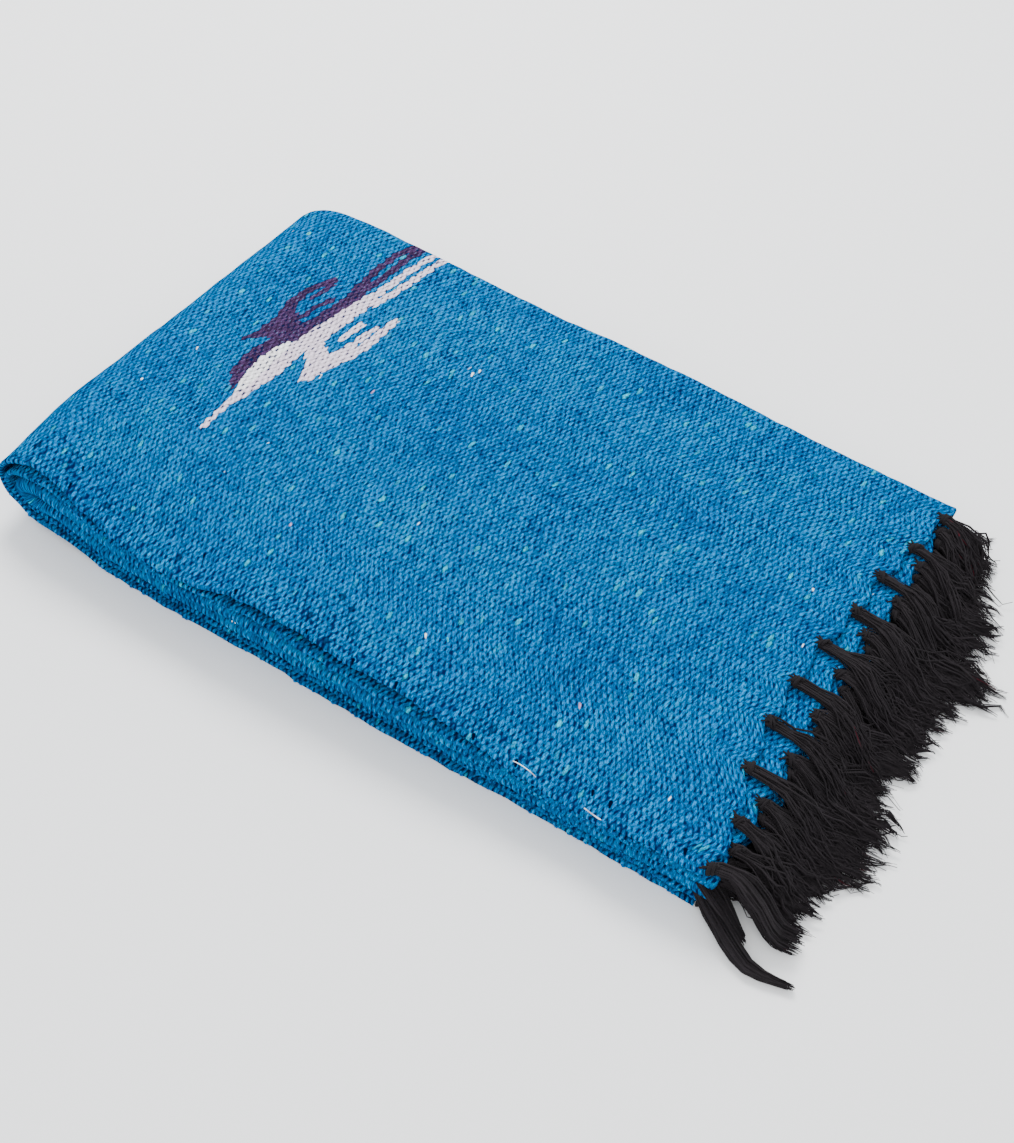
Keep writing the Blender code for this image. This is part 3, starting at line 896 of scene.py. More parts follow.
def blue_yarn(t, uv, middle_v, lucks, colors):
    """Blue weft whose dye varies from row to row, along the yarn and from float to float."""
    u, _, _ = t.separate(uv)
    row_seed = (middle_v * 2.0).math("ROUND")
    lot = t.noise(t.combine(u * 14.0, row_seed * 3.7), 1.0, detail=3.0, roughness=0.65)
    broad = t.noise(uv, 11.0, detail=4.0, roughness=0.6)
    shade = (lot - 0.5) * 0.50 + (lucks[0] - 0.5) * 0.20 + (broad - 0.5) * 0.70 + 0.5
    blue = t.mix(t.smooth(shade, 0.08, 0.60), tuple(colors.deep), tuple(colors.blue))
    blue = t.mix(t.smooth(shade, 0.50, 1.0), blue, tuple(colors.light))
    return t.mix(t.smooth(lucks[1], 0.975, 1.0) * 0.5, blue, tuple(colors.sky))


def woven_bird(t, uv, blue, home_u, home_v, luck, place, colors):
    """The bird over the blue, its outline stepped by the floats."""
    u, v, _ = t.separate(uv)
    point_a = (t.pick(BIRD_STEPPED, home_u, u) - place[0]) * 1000.0
    point_b = (t.pick(BIRD_STEPPED, home_v, v) - place[1]) * -1000.0
    masks = bird_masks(t, t.combine(point_a, point_b))
    dull = t.mix(luck, tuple(c * 0.70 for c in colors.plum), tuple(colors.plum))
    pale = t.mix(luck, tuple(colors.pale), tuple(c * 0.84 for c in colors.pale))
    white = t.mix(luck, tuple(colors.white), tuple(c * 0.90 for c in colors.white))
    yarn = t.mix(masks["plum"], blue, dull)
    yarn = t.mix(masks["pale"], yarn, pale)
    return t.mix(masks["white"], yarn, white)


def strokes_on_top(t, uv, sheet, rows):
    """How far a point lies inside each short stroke along the weft, given by its place on the face."""
    group = stroke_group()
    for x, y, long, wide in zip(*(rows[name] for name in ("x", "y", "long", "wide"))):
        u, v = top_place(sheet, x, y)
        start, end = (u - long / 2, v - STROKE_SLANT, 0.0), (u + long / 2, v + STROKE_SLANT, 0.0)
        yield inside_stroke(t, group, uv, start, end, float(wide) * 0.7, float(wide))


def caught_slubs(t, uv, yarn, sheet, colors):
    """A few bits of other yarn caught in the weave."""
    tints = (tuple(colors.white), tuple(colors.sky), tuple(colors.green))
    for inside, tint in zip(strokes_on_top(t, uv, sheet, SLUBS), SLUBS["tint"]):
        yarn = t.mix(t.smooth(inside, 0.0, 0.0006), yarn, tints[int(tint)])
    return yarn


def weave_material(sheet, sizes, colors):
    """Weft-faced plain weave in slubby yarn over a dark warp, with the bird woven in and the floats' shade
    and glints painted.
    """
    made, t, shader = principled("weave", {"Specular IOR Level": 0.0})
    uv = t.out(t.node("ShaderNodeUVMap", uv_map="weave"))
    u, v, _ = t.separate(uv)
    height, home_u, home_v, middle_v, lucks = weave_floats(t, uv, sizes)

    # The warp shows in small pits between floats, larger near the selvedges and in loose patches
    edge = u.math("MINIMUM", (u * -1.0) + sheet.width)
    by_edge = t.smooth(edge, 0.004, 0.050, 1.0, 0.0)
    patch = t.smooth(t.noise(uv, 26.0, detail=3.0), 0.50, 0.70)
    spot = t.smooth(t.noise(uv, 230.0, detail=0.0), 0.36, 0.70)
    pit = spot * (by_edge * 0.16 + patch * 0.12 + 0.32) + (by_edge * 0.06 + patch * 0.04 + 0.09)
    covered = t.smooth(height, pit * 0.50, pit * 1.60)
    missing = t.math("LESS_THAN", lucks[2], by_edge * MISSING_FLOATS)
    open_gap = missing * t.smooth(height, 1.40, 0.85) * MISSING_DEPTH
    for inside in strokes_on_top(t, uv, sheet, HOLES):
        open_gap = open_gap.math("MAXIMUM", t.smooth(inside, 0.0, 0.0007))
    covered = covered * t.math("SUBTRACT", 1.0, open_gap)
    # Pits show the warp's own colour; in open gaps and holes it is darkened to 0.3 as painted shade of the
    # gap
    warp_and_hole_shade = t.mix(open_gap, tuple(colors.warp), tuple(c * 0.30 for c in colors.warp))

    # Yarn colours, with rare flecks on the crown of a float
    yarn = blue_yarn(t, uv, middle_v, lucks, colors)
    crown = t.smooth(height, 0.72, 0.95) * 0.85
    fleck = t.mix(lucks[0].math("GREATER_THAN", 0.6), tuple(colors.white), tuple(colors.pink))
    fleck = t.mix(lucks[0].math("GREATER_THAN", 0.9), fleck, tuple(colors.green))
    yarn = t.mix(lucks[1].math("LESS_THAN", 0.0007) * crown, yarn, fleck)
    place = top_place(sheet, *BIRD_PLACE)
    yarn = woven_bird(t, uv, yarn, home_u, home_v, lucks[0], place, colors)
    yarn = caught_slubs(t, uv, yarn, sheet, colors)

    # Fibres along the yarn, and painted light from each float's height: painted glints on the crowns and
    # painted shade between the floats
    fibre = t.noise(t.combine(u * 900.0, v * 2600.0), 1.0, detail=2.0, roughness=0.6)
    tuft = t.noise(t.combine(u * 420.0, v * 1000.0), 1.0, detail=2.0, roughness=0.6)
    # Painted shade from the float's height, darkest low between the floats
    mound = (height.math("MINIMUM", 1.1) ** 1.10) * 0.85 + 0.20
    light = mound * (fibre * 0.7 + 0.65) * (t.smooth(tuft, 0.38, 0.62) * 0.85 + 0.50)
    # The bird's pale and white yarn, which has much red, gets only part of the painted shade
    redness = t.separate(yarn)[0].math("MINIMUM", 1.0)
    light = light + (t.math("SUBTRACT", 1.08, light) * redness * 0.55)
    lit = t.mix(1.0, yarn, t.combine(light, light, light), blend="MULTIPLY")
    # Painted highlight: crowns tinted towards sky where the tufts are bright
    glint = t.smooth(tuft, 0.58, 0.72) * t.smooth(height, 0.50, 0.95) * 0.60
    lit = t.mix(glint, lit, t.mix(0.60, yarn, tuple(colors.sky)))
    t.put(shader.inputs["Base Color"], t.mix(covered, warp_and_hole_shade, lit))
    t.put(shader.inputs["Roughness"], t.math("ADD", fibre * 0.12, 0.80))

    relief = height * covered + tuft * 0.22 + fibre * 0.08
    raise_surface(t, shader, relief, 1.0, sizes.relief)
    return made


def edge_yarn_material(colors):
    """The blue weft where it turns back at a selvedge."""
    made, t, shader = principled("edge_yarn", {"Roughness": 0.88, "Specular IOR Level": 0.12})
    place = t.out(t.node("ShaderNodeTexCoord"), "Object")
    broad = t.noise(place, 130.0, detail=2.0)
    fibre = t.noise(place, 1500.0, detail=2.0)
    shade = broad * 0.8 + fibre * 0.4 - 0.1
    color = t.mix(t.smooth(shade, 0.25, 0.75), tuple(colors.deep), tuple(colors.blue))
    color = t.mix(t.smooth(shade, 0.62, 0.85), color, tuple(colors.light))
    t.put(shader.inputs["Base Color"], color)
    raise_surface(t, shader, fibre, 0.6, 0.0004)
    return made


def white_yarn_material(colors):
    """A loose end of undyed yarn, a little dirty along its length."""
    made, t, shader = principled("undyed_yarn", {"Roughness": 0.8})
    place = t.out(t.node("ShaderNodeTexCoord"), "Object")
    broad = t.noise(place, 90.0, detail=2.0)
    fibre = t.noise(place, 1800.0, detail=2.0)
    dull = tuple(c * 0.55 for c in colors.pale)
    t.put(shader.inputs["Base Color"], t.mix(t.smooth(broad, 0.3, 0.6), dull, tuple(colors.white)))
    raise_surface(t, shader, fibre, 0.5, 0.0003)
    return made


def fringe_material(colors):
    """Soft near-black yarn with a few browner and redder fibres."""
    soft = {"Roughness": 1.0, "Sheen Weight": 0.02, "Sheen Roughness": 0.6, "Specular IOR Level": 0.02}
    made, t, shader = principled("fringe_yarn", soft)
    place = t.out(t.node("ShaderNodeTexCoord"), "Object")
    strand = t.out(t.node("ShaderNodeAttribute", attribute_name="strand"), "Fac")
    fine = t.noise(t.vector("MULTIPLY", place, (500.0, 1600.0, 1600.0)), 1.0, detail=3.0)
    broad = t.noise(place, 70.0, detail=2.0)
    shade = t.smooth(fine * 0.55 + strand * 0.30 + broad * 0.35, 0.35, 0.90)
    color = t.mix(shade, tuple(colors.black), tuple(colors.soot))
    color = t.mix(strand.math("GREATER_THAN", 0.992), color, tuple(colors.maroon))
    t.put(shader.inputs["Base Color"], color)
    raise_surface(t, shader, fine, 0.7, 0.0005)
    return made


# Strands and loops of yarn, by Geometry Nodes


def open_tree(name, sockets):
    """An empty geometry node tree, its wires and its named inputs."""
    tree = bpy.data.node_groups.new(name, "GeometryNodeTree")
    tree.interface.new_socket("Guides", in_out="INPUT", socket_type="NodeSocketGeometry")
    for label, kind, value in sockets:
        made = tree.interface.new_socket(label, in_out="INPUT", socket_type=f"NodeSocket{kind}")
        made.default_value = value
    tree.interface.new_socket("Yarn", in_out="OUTPUT", socket_type="NodeSocketGeometry")
    t = Tree(tree)
    given = t.node("NodeGroupInput")
    return tree, t, {socket.name: t.out(given, socket.name) for socket in given.outputs if socket.name}


def close_tree(t, curves, radius, sides, finish):
    """Tubes of the given radius round the curves, in one material, as the tree's result."""
    sized = t.out(t.node("GeometryNodeSetCurveRadius", {"Curve": curves, "Radius": radius}))
    ring = t.out(t.node("GeometryNodeCurvePrimitiveCircle", {"Resolution": sides, "Radius": 1.0}))
    tube = t.node("GeometryNodeCurveToMesh", {"Curve": sized, "Profile Curve": ring, "Fill Caps": True})
    t.put(tube.inputs["Scale"], t.out(t.node("GeometryNodeInputRadius")))
    smooth = t.node("GeometryNodeSetShadeSmooth", {"Geometry": t.out(tube)})
    single = t.node("GeometryNodeRealizeInstances", {"Geometry": t.out(smooth)})
    finished = t.node("GeometryNodeSetMaterial", {"Geometry": t.out(single), "Material": finish})
    t.put(t.node("NodeGroupOutput").inputs[0], t.out(finished))


def stored(t, curves, kind, name, value):
    """Curves that keep a value of their own under a name."""
    inputs = {"Geometry": curves, "Name": name, "Value": value}
    return t.out(t.node("GeometryNodeStoreNamedAttribute", inputs, data_type=kind, domain="CURVE"))


def per_curve(t, value, kind="FLOAT"):
    """The same value all along each curve."""
    held = t.node("GeometryNodeFieldOnDomain", domain="CURVE", data_type=kind)
    t.put(held.inputs[0], value)
    return t.out(held)


def chance_of(t, low, high, seed, salt, ident=None):
    """A random number or vector for each curve, or for each value of an identifier."""
    vector = isinstance(low, tuple)
    kind = "FLOAT_VECTOR" if vector else "FLOAT"
    random = t.node("FunctionNodeRandomValue", data_type=kind)
    for socket, value in zip(random.inputs[:2] if vector else random.inputs[2:4], (low, high)):
        t.put(socket, value)
    t.put(random.inputs["Seed"], seed + salt)
    if ident is not None:
        t.put(random.inputs["ID"], ident)
    return per_curve(t, t.out(random, 0 if vector else 1), kind)


def wave_of(t, place, salt, scale, reach):
    """A smooth sideways wave that differs with the salt."""
    salted = t.vector("ADD", place, salt)
    swirl = t.noise(salted, scale, detail=2.0, color=True)
    centred = t.vector("SUBTRACT", swirl, (0.5, 0.5, 0.5))
    return t.vector("MULTIPLY", t.vector("SCALE", centred, reach), (0.8, 2.0, 0.7))


def strand_tree(finish):
    """Turns guide lines into tassel locks: fanned at the hem, knotted, then fraying into wisps."""
    tree, t, value = open_tree(
        "fringe_strands",
        (
            ("Strands", "Int", 16),
            ("Clumps", "Int", 2),
            ("Lock Width", "Float", 0.0024),
            ("Tip Share", "Float", 0.16),
            ("Clump Spread", "Float", 0.0078),
            ("Wave", "Float", 0.0170),
            ("Stray", "Float", 0.0014),
            ("Strand Radius", "Float", 0.0007),
            ("Shortest", "Float", 0.72),
            ("Seed", "Int", 7),
        ),
    )
    seed = value["Seed"]
    curves = t.out(t.node("GeometryNodeMeshToCurve", {"Mesh": value["Guides"]}))
    curves = stored(t, curves, "INT", "lock", t.out(t.node("GeometryNodeInputIndex")))
    curves = t.out(t.node("GeometryNodeResampleCurve", {"Curve": curves, "Count": STRAND_STOPS}))
    amount = {"Geometry": curves, "Amount": value["Strands"]}
    many = t.node("GeometryNodeDuplicateElements", amount, domain="SPLINE")
    curves, copy = t.out(many), t.out(many, "Duplicate Index")
    lock = t.node("GeometryNodeInputNamedAttribute", {"Name": "lock"}, data_type="INT")
    clump = (copy * value["Clumps"] / value["Strands"]).math("FLOOR") + t.out(lock) * 10.0

    factor = t.out(t.node("GeometryNodeSplineParameter"), "Factor")
    neck = t.smooth(factor, 0.0, 0.06, 0.5, 1.15) * t.smooth(factor, 0.08, 0.18, 1.0, 0.85)
    ending = t.smooth(factor, 0.52, 1.0) * (value["Tip Share"] - 1.0) + 1.0
    body = neck * t.smooth(factor, 0.14, 0.40, 1.0, 2.4) * ending
    side = chance_of(t, (-1.0, -1.0, -1.0), (1.0, 1.0, 1.0), seed, 1)
    offset = t.vector("SCALE", t.vector("MULTIPLY", side, (0.3, 1.0, 0.75)), value["Lock Width"] * body)
    apart = chance_of(t, (-0.6, -1.0, 0.0), (0.6, 1.0, 0.4), seed, 2, clump)
    parted = t.smooth(factor, 0.20, 0.60) * t.smooth(factor, 0.75, 1.0, 1.0, 0.75)
    apart = t.vector("SCALE", apart, value["Clump Spread"] * parted)

    place = t.out(t.node("GeometryNodeInputPosition"))
    bunch = chance_of(t, (-9.0,) * 3, (9.0,) * 3, seed, 3, clump)
    together = wave_of(t, place, bunch, 46.0, value["Wave"] * t.smooth(factor, 0.12, 0.75))
    alone = chance_of(t, (-9.0,) * 3, (9.0,) * 3, seed, 4)
    wild = t.smooth(chance_of(t, 0.0, 1.0, seed, 5), 0.84, 1.0, 1.0, 4.0)
    apiece = wave_of(t, place, alone, 75.0, value["Stray"] * wild * t.smooth(factor, 0.05, 0.9))
    moved = t.vector("ADD", t.vector("ADD", place, offset), apart)
    moved = t.vector("ADD", moved, t.vector("ADD", together, apiece))
    x, y, z = t.separate(moved)
    grounded = t.combine(x, y, z.math("MAXIMUM", value["Strand Radius"] * 1.2))
    curves = t.out(t.node("GeometryNodeSetPosition", {"Geometry": curves, "Position": grounded}))

    curves = stored(t, curves, "FLOAT", "strand", chance_of(t, 0.0, 1.0, seed, 6))
    long = chance_of(t, value["Shortest"], 1.0, seed, 7, clump) * chance_of(t, 0.88, 1.0, seed, 8)
    trim = t.node("GeometryNodeTrimCurve", {"Curve": curves, "End": long}, mode="FACTOR")
    thin = chance_of(t, 0.45, 1.25, seed, 9) * t.smooth(factor, 0.72, 1.0, 1.0, 0.35)
    close_tree(t, t.out(trim), value["Strand Radius"] * thin, 3, finish)
    return tree


def yarn_tree(finish):
    """Turns guide lines into single yarns."""
    sockets = (("Yarn Radius", "Float", 0.0008), ("Steps", "Int", 8), ("Seed", "Int", 3))
    tree, t, value = open_tree("single_yarns", sockets)
    curves = t.out(t.node("GeometryNodeMeshToCurve", {"Mesh": value["Guides"]}))
    thick = chance_of(t, 0.65, 1.25, value["Seed"], 1)
    curves = t.out(t.node("GeometryNodeResampleCurve", {"Curve": curves, "Count": value["Steps"]}))
    close_tree(t, curves, value["Yarn Radius"] * thick, 5, finish)
    return tree


def apply_tree(made, tree, settings):
    """Runs a node tree on an object with the settings given by name, and keeps the plain mesh."""
    modifier = made.modifiers.new("strands", "NODES")
    modifier.node_group = tree
    for item in tree.interface.items_tree:
        if item.item_type == "SOCKET" and item.in_out == "INPUT" and item.name in settings:
            modifier[item.identifier] = settings[item.name]
    graph = bpy.context.evaluated_depsgraph_get()
    mesh = bpy.data.meshes.new_from_object(made.evaluated_get(graph), depsgraph=graph)
    made.modifiers.remove(modifier)
    if not mesh.polygons:
        raise RuntimeError(f"{made.name} came out empty")
    old = made.data
    made.data = mesh
    bpy.data.meshes.remove(old)


def tassels(part, layers=range(WIDTH_LAYERS)):
    """Each tassel's layer, level, number, middle line and hem."""
    for layer in layers:
        level = LAYERS - 1 - layer if part == "upper" else layer
        for k in range(TASSELS["count"][layer]):
            y = TASSELS["first"][layer] + TASSELS["pitch"][layer] * k
            yield layer, level, k, y, float(hem_at(part, layer, y) - hem_drawn(layer, y))


def blunt_lines(rows):
    """A smooth middle line through listed stops."""
    at = np.linspace(0.0, 1.0, LINE_STOPS)
    stops = {"at": np.linspace(0.0, 1.0, len(rows["x"])), **rows}
    line = np.stack([along(stops, name, at, "at") for name in BLUNT_COLUMNS], axis=-1)
    return [line, line + np.array([0.0, 0.0, -0.0010])]


def gathered_tip(y, wave):
    """Where a lock's tip comes to lie, drawn to the nearest wisp."""
    nearest = int(np.argmin(np.abs(WISPS["y"] - y)))
    middle, reach, gather = (WISPS[name][nearest] for name in ("y", "x", "gather"))
    short = TIP_UNEVEN * (1 - wave) + TIP_SLANT * abs(y - middle)
    return reach + TIP_PAST - short, y + (middle - y) * (0.65 + 0.35 * gather)


def lock_guides(part):
    """Guide lines of one end's locks, from inside the hem to their tips on the floor."""
    lines = []
    for layer, level, k, y, hem in tassels(part):
        if (layer, k) == (0, 0):
            continue  # the blunt locks lie here
        splay = 0.004 * float(ease((y - 0.165) / 0.02))
        for n in range(LOCKS_PER_TASSEL):
            wave = math.sin(2.4 * k + 1.7 * level + 2.1 * n)
            order = n - (LOCKS_PER_TASSEL - 1) / 2
            aim = y + order * LOCK_FAN + LOCK_DRIFT * math.sin(11.0 * y + 2.3 * level) + splay
            aim = max(aim, NEAREST_TIP + 0.004 * order)
            lines.append(lock_line(level, hem, y, order, *gathered_tip(aim, wave), wave))
    return lines


def lock_line(level, hem, y, order, reach, tip_y, wave):
    """One lock's middle line: out of the hem, through the knot, over the edge and along the floor."""
    t = np.linspace(0.0, 1.0, LINE_STOPS)
    x = (hem - HEM_HIDDEN) + (reach - hem + HEM_HIDDEN) * t
    out = x - hem
    side = y + order * (0.0014 * (1 - ease(out / 0.005)) + 0.0009)
    loose = ease((out - 0.008) / (reach - hem - 0.008))
    if level < LAYERS - 1:
        loose = ease(out / (0.6 * (reach - hem)))
    if level < LAYERS - 2:
        side = y + order * 0.0105
    side = side + (tip_y - y) * loose + 0.0026 * np.sin(6.0 * t + 3.0 * wave) * t
    start = float(level_height(level, hem, y))
    carried = np.full_like(t, start)
    if level == LAYERS - 1:
        below = level_height(level - 1, x, side) + CLOTH_THICK / 2 + 0.0028
        carried = start + (below - start) * ease(out / 0.012)
    rest = FLOOR_REST + FLOOR_PILE * level * (1 - 0.75 * t)
    fall_from, fall_run = max(hem + 0.004, 0.610), 0.030 + 0.0018 * level
    fall = ease((x - fall_from) / fall_run)
    knot = 0.0018 * np.exp(-(((out - 0.004) / 0.005) ** 2))
    return np.stack([x, side, carried * (1 - fall) + rest * fall + knot], axis=-1)


def knot_guides(part):
    """Turns of yarn wound round each tassel's neck."""
    lines = []
    turn = np.linspace(0.0, 2 * KNOT_TURNS * math.pi, KNOT_STOPS)
    for layer, level, k, y, hem in tassels(part):
        start = float(level_height(level, hem, y)) + 0.0012
        round_y = KNOT_WIDE * (1 + 0.30 * np.sin(turn / 2 + 2.3 * k + layer))
        tilt = KNOT_TILT * math.sin(1.7 * k + layer)
        x = hem + 0.0014 + KNOT_LONG * turn / turn[-1] + tilt * np.cos(turn)
        z = np.maximum(start + KNOT_TALL * np.sin(turn), KNOT_LOWEST)
        lines.append(np.stack([x, y + round_y * np.cos(turn), z], axis=-1))
    return lines


def warp_end_guides():
    """Warp ends drawn over the hem into the tassels of the two uppermost layers."""
    lines = []
    dice = np.random.default_rng(5)
    over = CLOTH_THICK / 2
    for _, level, _, y, hem in tassels("upper", (0, 1)):
        for spread in WARP_END_PLACES:
            back = hem - dice.uniform(0.0010, 0.0045)
            aside = y + 0.0045 * spread + dice.uniform(-0.0008, 0.0008)
            stops = (
                (back, aside, 0.0),
                (hem + 0.0005, (aside + 2 * y) / 3, 0.0008),
                (hem + 0.004, y, 0.0008),
            )
            lines.append(
                np.array([(x, b, float(level_height(level, x, b)) + over + up) for x, b, up in stops])
            )
    return lines


def loop_guides(sheet):
    """Small turns of weft along the free selvedges."""
    lines = []
    dice = np.random.default_rng(11)
    angles = np.linspace(-1.9, 1.9, 8)
    for edge, inner in ((0, 4), (-1, -5)):
        path, inside = sheet.middle[:, edge], sheet.middle[:, inner]
        walked = np.concatenate([[0.0], np.cumsum(np.linalg.norm(np.diff(path, axis=0), axis=-1))])
        for at in np.arange(0.003, walked[-1] - 0.003, SELVEDGE_PITCH):
            if dice.random() < TURNS_HIDDEN:
                continue
            at = at + dice.uniform(-0.0012, 0.0012)
            point = np.array([np.interp(at, walked, path[:, k]) for k in range(3)])
            back = np.array([np.interp(at, walked, inside[:, k]) for k in range(3)])
            ahead = np.array([np.interp(at + 0.001, walked, path[:, k]) for k in range(3)])
            out = (point - back) / np.linalg.norm(point - back)
            run = (ahead - point) / np.linalg.norm(ahead - point)
            lift = np.cross(out, run)
            size, rise = dice.uniform(0.0007, 0.0014), dice.uniform(-0.0008, 0.0008)
            start = point - out * dice.uniform(0.0013, 0.0023)
            lines.append(
                start
                + np.outer(size * 1.2 * np.cos(angles) + 0.0005, out)
                + np.outer(size * np.sin(angles), run)
                + lift * rise
            )
    return lines


def loose_guides():
    """Loose ends of yarn that hang at the near edges."""
    t = np.linspace(0.0, 1.0, 9)[:, None]
    lines = []
    for x0, y0, z0, x1, y1, z1, sag in zip(*LOOSE_ENDS.values()):
        first, last = np.array([x0, y0, z0]), np.array([x1, y1, z1])
        lines.append(first + (last - first) * t + np.array([0, 0, 4 * sag]) * t * (1 - t))
    return lines


def guide_object(name, lines, shift):
    """An object whose edges are the guide lines."""
    mesh = bpy.data.meshes.new(name)
    verts, edges = [], []
    for line in lines:
        first = len(verts)
        verts.extend((line + shift).tolist())
        edges.extend((first + k, first + k + 1) for k in range(len(line) - 1))
    mesh.from_pydata(verts, edges, [])
    return linked(name, mesh)


# What a user can change


def length(name, description, value):
    """A length that a user can change."""
    return FloatProperty(name=name, description=description, default=value, min=0, subtype="DISTANCE")


class BlanketSizes(bpy.types.PropertyGroup):
    """Sizes of the weave and of the fringe's strands."""

    warp_pitch: length("Warp Pitch", "Distance between warp yarns", 0.0051)
    weft_pitch: length("Weft Pitch", "Distance between weft rows", 0.00205)
    relief: length("Relief", "How high a float stands", 0.0011)
    strand_radius: length("Strand Radius", "Radius of one strand", 0.00055)
    strands: IntProperty(name="Strands", description="Strands in each lock", default=26, min=1)


def yarn(name, description, value):
    """A colour that a user can change."""
    return FloatVectorProperty(
        name=name, description=description, subtype="COLOR", size=4, min=0, max=1, default=(*value, 1.0)
    )


class BlanketColors(bpy.types.PropertyGroup):
    """Colours of the yarns."""

    blue: yarn("Blue", "Main weft", (0.0001, 0.141, 0.388))
    deep: yarn("Deep Blue", "Darker dye lots of the weft", (0.0001, 0.065, 0.248))
    light: yarn("Light Blue", "Lighter dye lots of the weft", (0.0001, 0.252, 0.500))
    # Sky also tints the painted glints on the floats' crowns
    sky: yarn("Sky", "Pale slubs in the weft", (0.0010, 0.540, 0.680))
    white: yarn("White", "White yarn", (0.930, 0.920, 0.950))
    pale: yarn("Pale Pink", "Pale yarn of the bird", (0.800, 0.690, 0.820))
    plum: yarn("Plum", "Dark yarn of the bird", (0.068, 0.032, 0.098))
    pink: yarn("Pink", "Pink flecks", (0.480, 0.240, 0.380))
    green: yarn("Green", "Green flecks", (0.090, 0.420, 0.330))
    warp: yarn("Warp", "Warp yarn that shows between floats", (0.0018, 0.0075, 0.0480))
    black: yarn("Black", "Fringe yarn", (0.0125, 0.0108, 0.0120))
    soot: yarn("Soot", "Lighter fringe fibres", (0.0215, 0.0182, 0.0205))
    maroon: yarn("Maroon", "Stray red fibres", (0.060, 0.008, 0.014))


# Operators


class BLANKET_OT_stage(bpy.types.Operator):
    """Lays a plain pale floor, sets soft studio light and places the camera"""

    bl_idname = "blanket.stage"
    bl_label = "Stage"

    def execute(self, context):
        corners = [(-1.0, -1.0, 0.0), (1.0, -1.0, 0.0), (1.0, 1.0, 0.0), (-1.0, 1.0, 0.0)]
        floor = mesh_object("floor", FLOOR_HALF * np.array(corners), [(0, 1, 2, 3)])
        floor.data.materials.append(principled("paper", {"Base Color": FLOOR_COLOR, "Roughness": 0.9})[0])
        floor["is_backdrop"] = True
        self.light(context)
        self.camera(context)
        return {"FINISHED"}

    def light(self, context):
        """A pale sky and two large soft lamps."""
        world = bpy.data.worlds.new("studio")
        world.use_nodes = True
        world.node_tree.nodes["Background"].inputs["Color"].default_value = SKY_COLOR
        world.node_tree.nodes["Background"].inputs["Strength"].default_value = SKY_STRENGTH
        context.scene.world = world
        for name, place, size, power in LAMPS:
            data = bpy.data.lights.new(name, "AREA")
            data.shape = "DISK"
            data.size = size
            data.energy = power
            lamp = linked(name, data)
            lamp.location = place
            lamp.rotation_euler = (-Vector(place)).to_track_quat("-Z", "Y").to_euler()

    def camera(self, context):
        """The photographed view, from the fitted angles and distance."""
        a, e = math.radians(CAMERA_AZIMUTH), math.radians(CAMERA_ELEVATION)
        r = math.radians(CAMERA_ROLL)
        back = Vector((math.sin(a) * math.cos(e), -math.cos(a) * math.cos(e), math.sin(e)))
        right = Vector((math.cos(a), math.sin(a), 0.0))
        up = back.cross(right)
        right, up = right * math.cos(r) + up * math.sin(r), up * math.cos(r) - right * math.sin(r)
        aim = Vector((*CAMERA_AIM, 0.0)) + Vector(folded_sheet().shift)
        data = bpy.data.cameras.new("view")
        data.sensor_width = SENSOR
        data.lens = FOCAL_PIXELS * SENSOR / IMAGE_HEIGHT
        turn = Matrix((right, up, back)).transposed().to_4x4()
        context.scene.camera = linked("view", data)
        context.scene.camera.matrix_world = Matrix.Translation(aim + back * CAMERA_DISTANCE) @ turn


class BLANKET_OT_cloth(bpy.types.Operator):
    """Folds the woven cloth with its bird and rounded edges"""

    bl_idname = "blanket.cloth"
    bl_label = "Cloth"

    def execute(self, context):
        sheet = folded_sheet()
        cloth = mesh_object("woven_cloth", *closed_sheet(sheet))
        face_outwards(cloth)
        scene = context.scene
        cloth.data.materials.append(weave_material(sheet, scene.blanket_sizes, scene.blanket_colors))
        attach(cloth, "root")
        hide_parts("cloth")
        return {"FINISHED"}


class BLANKET_OT_fringe(bpy.types.Operator):
    """Hangs the frayed strands at both cut ends"""

    bl_idname = "blanket.fringe"
    bl_label = "Fringe"

    def execute(self, context):
        sizes, colors = context.scene.blanket_sizes, context.scene.blanket_colors
        shift = folded_sheet().shift
        finish = fringe_material(colors)
        tree = strand_tree(finish)
        long = {"Strands": sizes.strands, "Strand Radius": sizes.strand_radius}
        upper, lower = lock_guides("upper"), lock_guides("lower")
        pieces = [
            ("strands_upper", "fringe_upper", upper, {**long, "Seed": 7}),
            ("strands_lower", "fringe_lower", lower, {**long, "Seed": 40}),
        ]
        for name, rows, wide, tip in BLUNT_LOCKS:
            pieces.append((name, None, blunt_lines(rows), {**BLUNT, "Lock Width": wide, "Tip Share": tip}))
        pieces.append(("fuzz_upper", None, upper, {**FUZZ, "Seed": 70}))
        pieces.append(("fuzz_lower", None, lower, {**FUZZ, "Seed": 90}))
        for name, node, lines, settings in pieces:
            made = guide_object(name, lines, shift)
            apply_tree(made, tree, settings)
            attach(made, "root")
            if node:
                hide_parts(node)
        return {"FINISHED"}


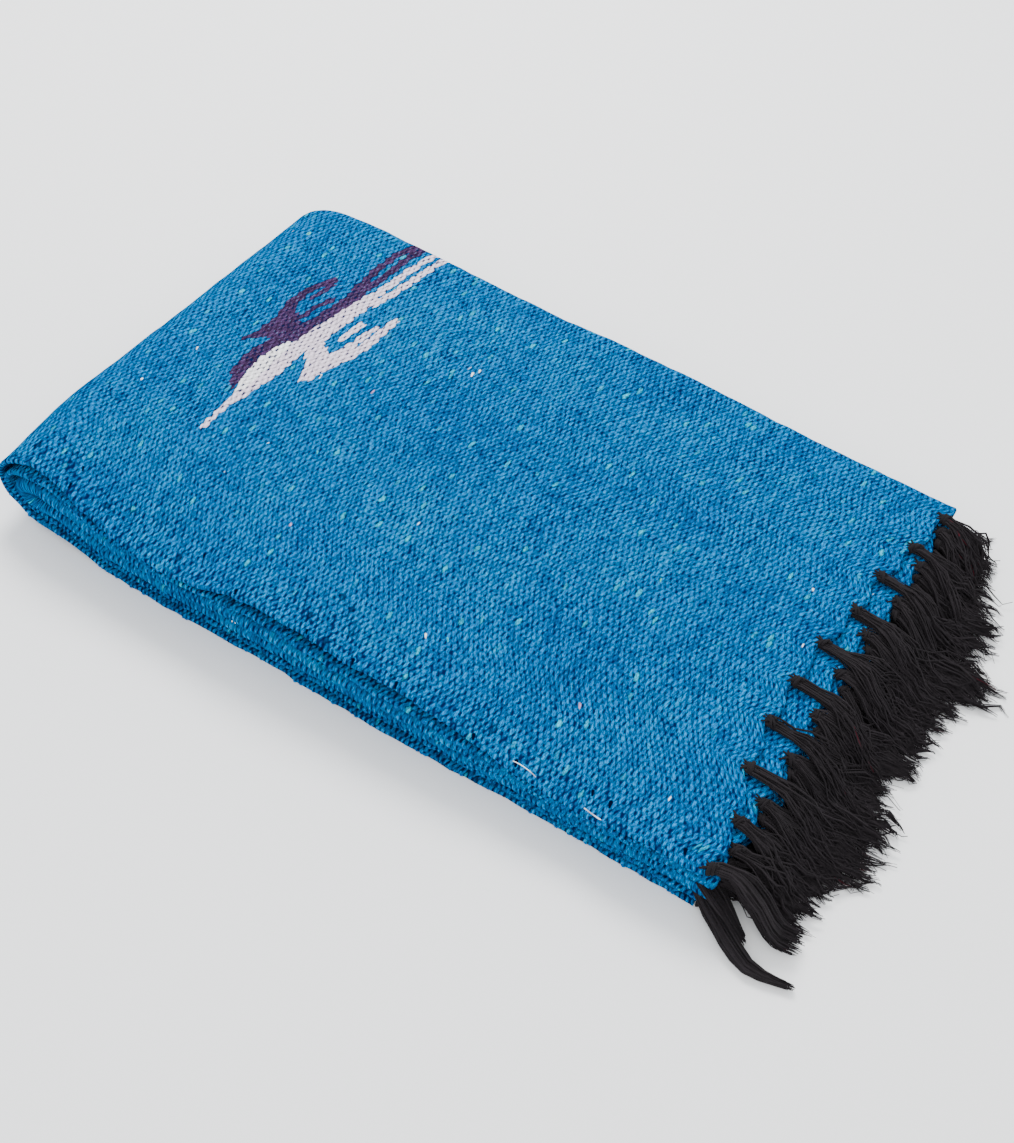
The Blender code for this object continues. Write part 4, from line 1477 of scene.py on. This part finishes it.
class BLANKET_OT_edges(bpy.types.Operator):
    """Adds the turns of weft along the selvedges, loose ends, and the tassels' knots and warp ends"""

    bl_idname = "blanket.edges"
    bl_label = "Edges"

    def execute(self, context):
        colors = context.scene.blanket_colors
        sheet = folded_sheet()
        knots = knot_guides("upper") + knot_guides("lower")
        dark = bpy.data.materials["fringe_yarn"]
        for name, lines, finish, radius, steps, slot in (
            ("selvedge_turns", loop_guides(sheet), edge_yarn_material(colors), 0.0007, 8, "cloth"),
            ("loose_ends", loose_guides(), white_yarn_material(colors), 0.0004, 8, "cloth"),
            ("tassel_knots", knots, dark, 0.0013, KNOT_STOPS, "fringe"),
            ("warp_ends", warp_end_guides(), dark, 0.0007, 6, "fringe"),
        ):
            made = guide_object(name, lines, sheet.shift)
            apply_tree(made, yarn_tree(finish), {"Yarn Radius": radius, "Steps": steps})
            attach(made, "root")
        return {"FINISHED"}


class BLANKET_OT_declare(bpy.types.Operator):
    """Looks up the folded sheet and does nothing more"""

    bl_idname = "blanket.declare"
    bl_label = "Declare"

    def execute(self, context):
        sheet = folded_sheet()
        return {"FINISHED"}


class BLANKET_PT_panel(bpy.types.Panel):
    """Lists the blanket's pieces in the sidebar"""

    bl_label = "Blanket"
    bl_idname = "BLANKET_PT_panel"
    bl_space_type = "VIEW_3D"
    bl_region_type = "UI"
    bl_category = "Blanket"

    def draw(self, context):
        for operator in OPERATORS:
            self.layout.operator(operator.bl_idname)
        for group in (context.scene.blanket_sizes, context.scene.blanket_colors):
            box = self.layout.box()
            for name in group.__annotations__:
                box.prop(group, name)


OPERATORS = (
    BLANKET_OT_stage,
    BLANKET_OT_cloth,
    BLANKET_OT_fringe,
    BLANKET_OT_edges,
    BLANKET_OT_declare,
)
CLASSES = (BlanketSizes, BlanketColors, *OPERATORS, BLANKET_PT_panel)


def register():
    for cls in CLASSES:
        bpy.utils.register_class(cls)
    bpy.types.Scene.blanket_sizes = PointerProperty(type=BlanketSizes)
    bpy.types.Scene.blanket_colors = PointerProperty(type=BlanketColors)


def unregister():
    del bpy.types.Scene.blanket_colors
    del bpy.types.Scene.blanket_sizes
    for cls in reversed(CLASSES):
        bpy.utils.unregister_class(cls)


def main():
    register()
    bpy.ops.blanket.stage()
    bpy.ops.blanket.cloth()
    bpy.ops.blanket.fringe()
    bpy.ops.blanket.edges()
    bpy.ops.blanket.declare()
    boxes = {"cad": CAD_BOX, "visual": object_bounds()}
    {name: [list(corner) for corner in box] for name, box in boxes.items()}


if __name__ == "__main__":
    main()
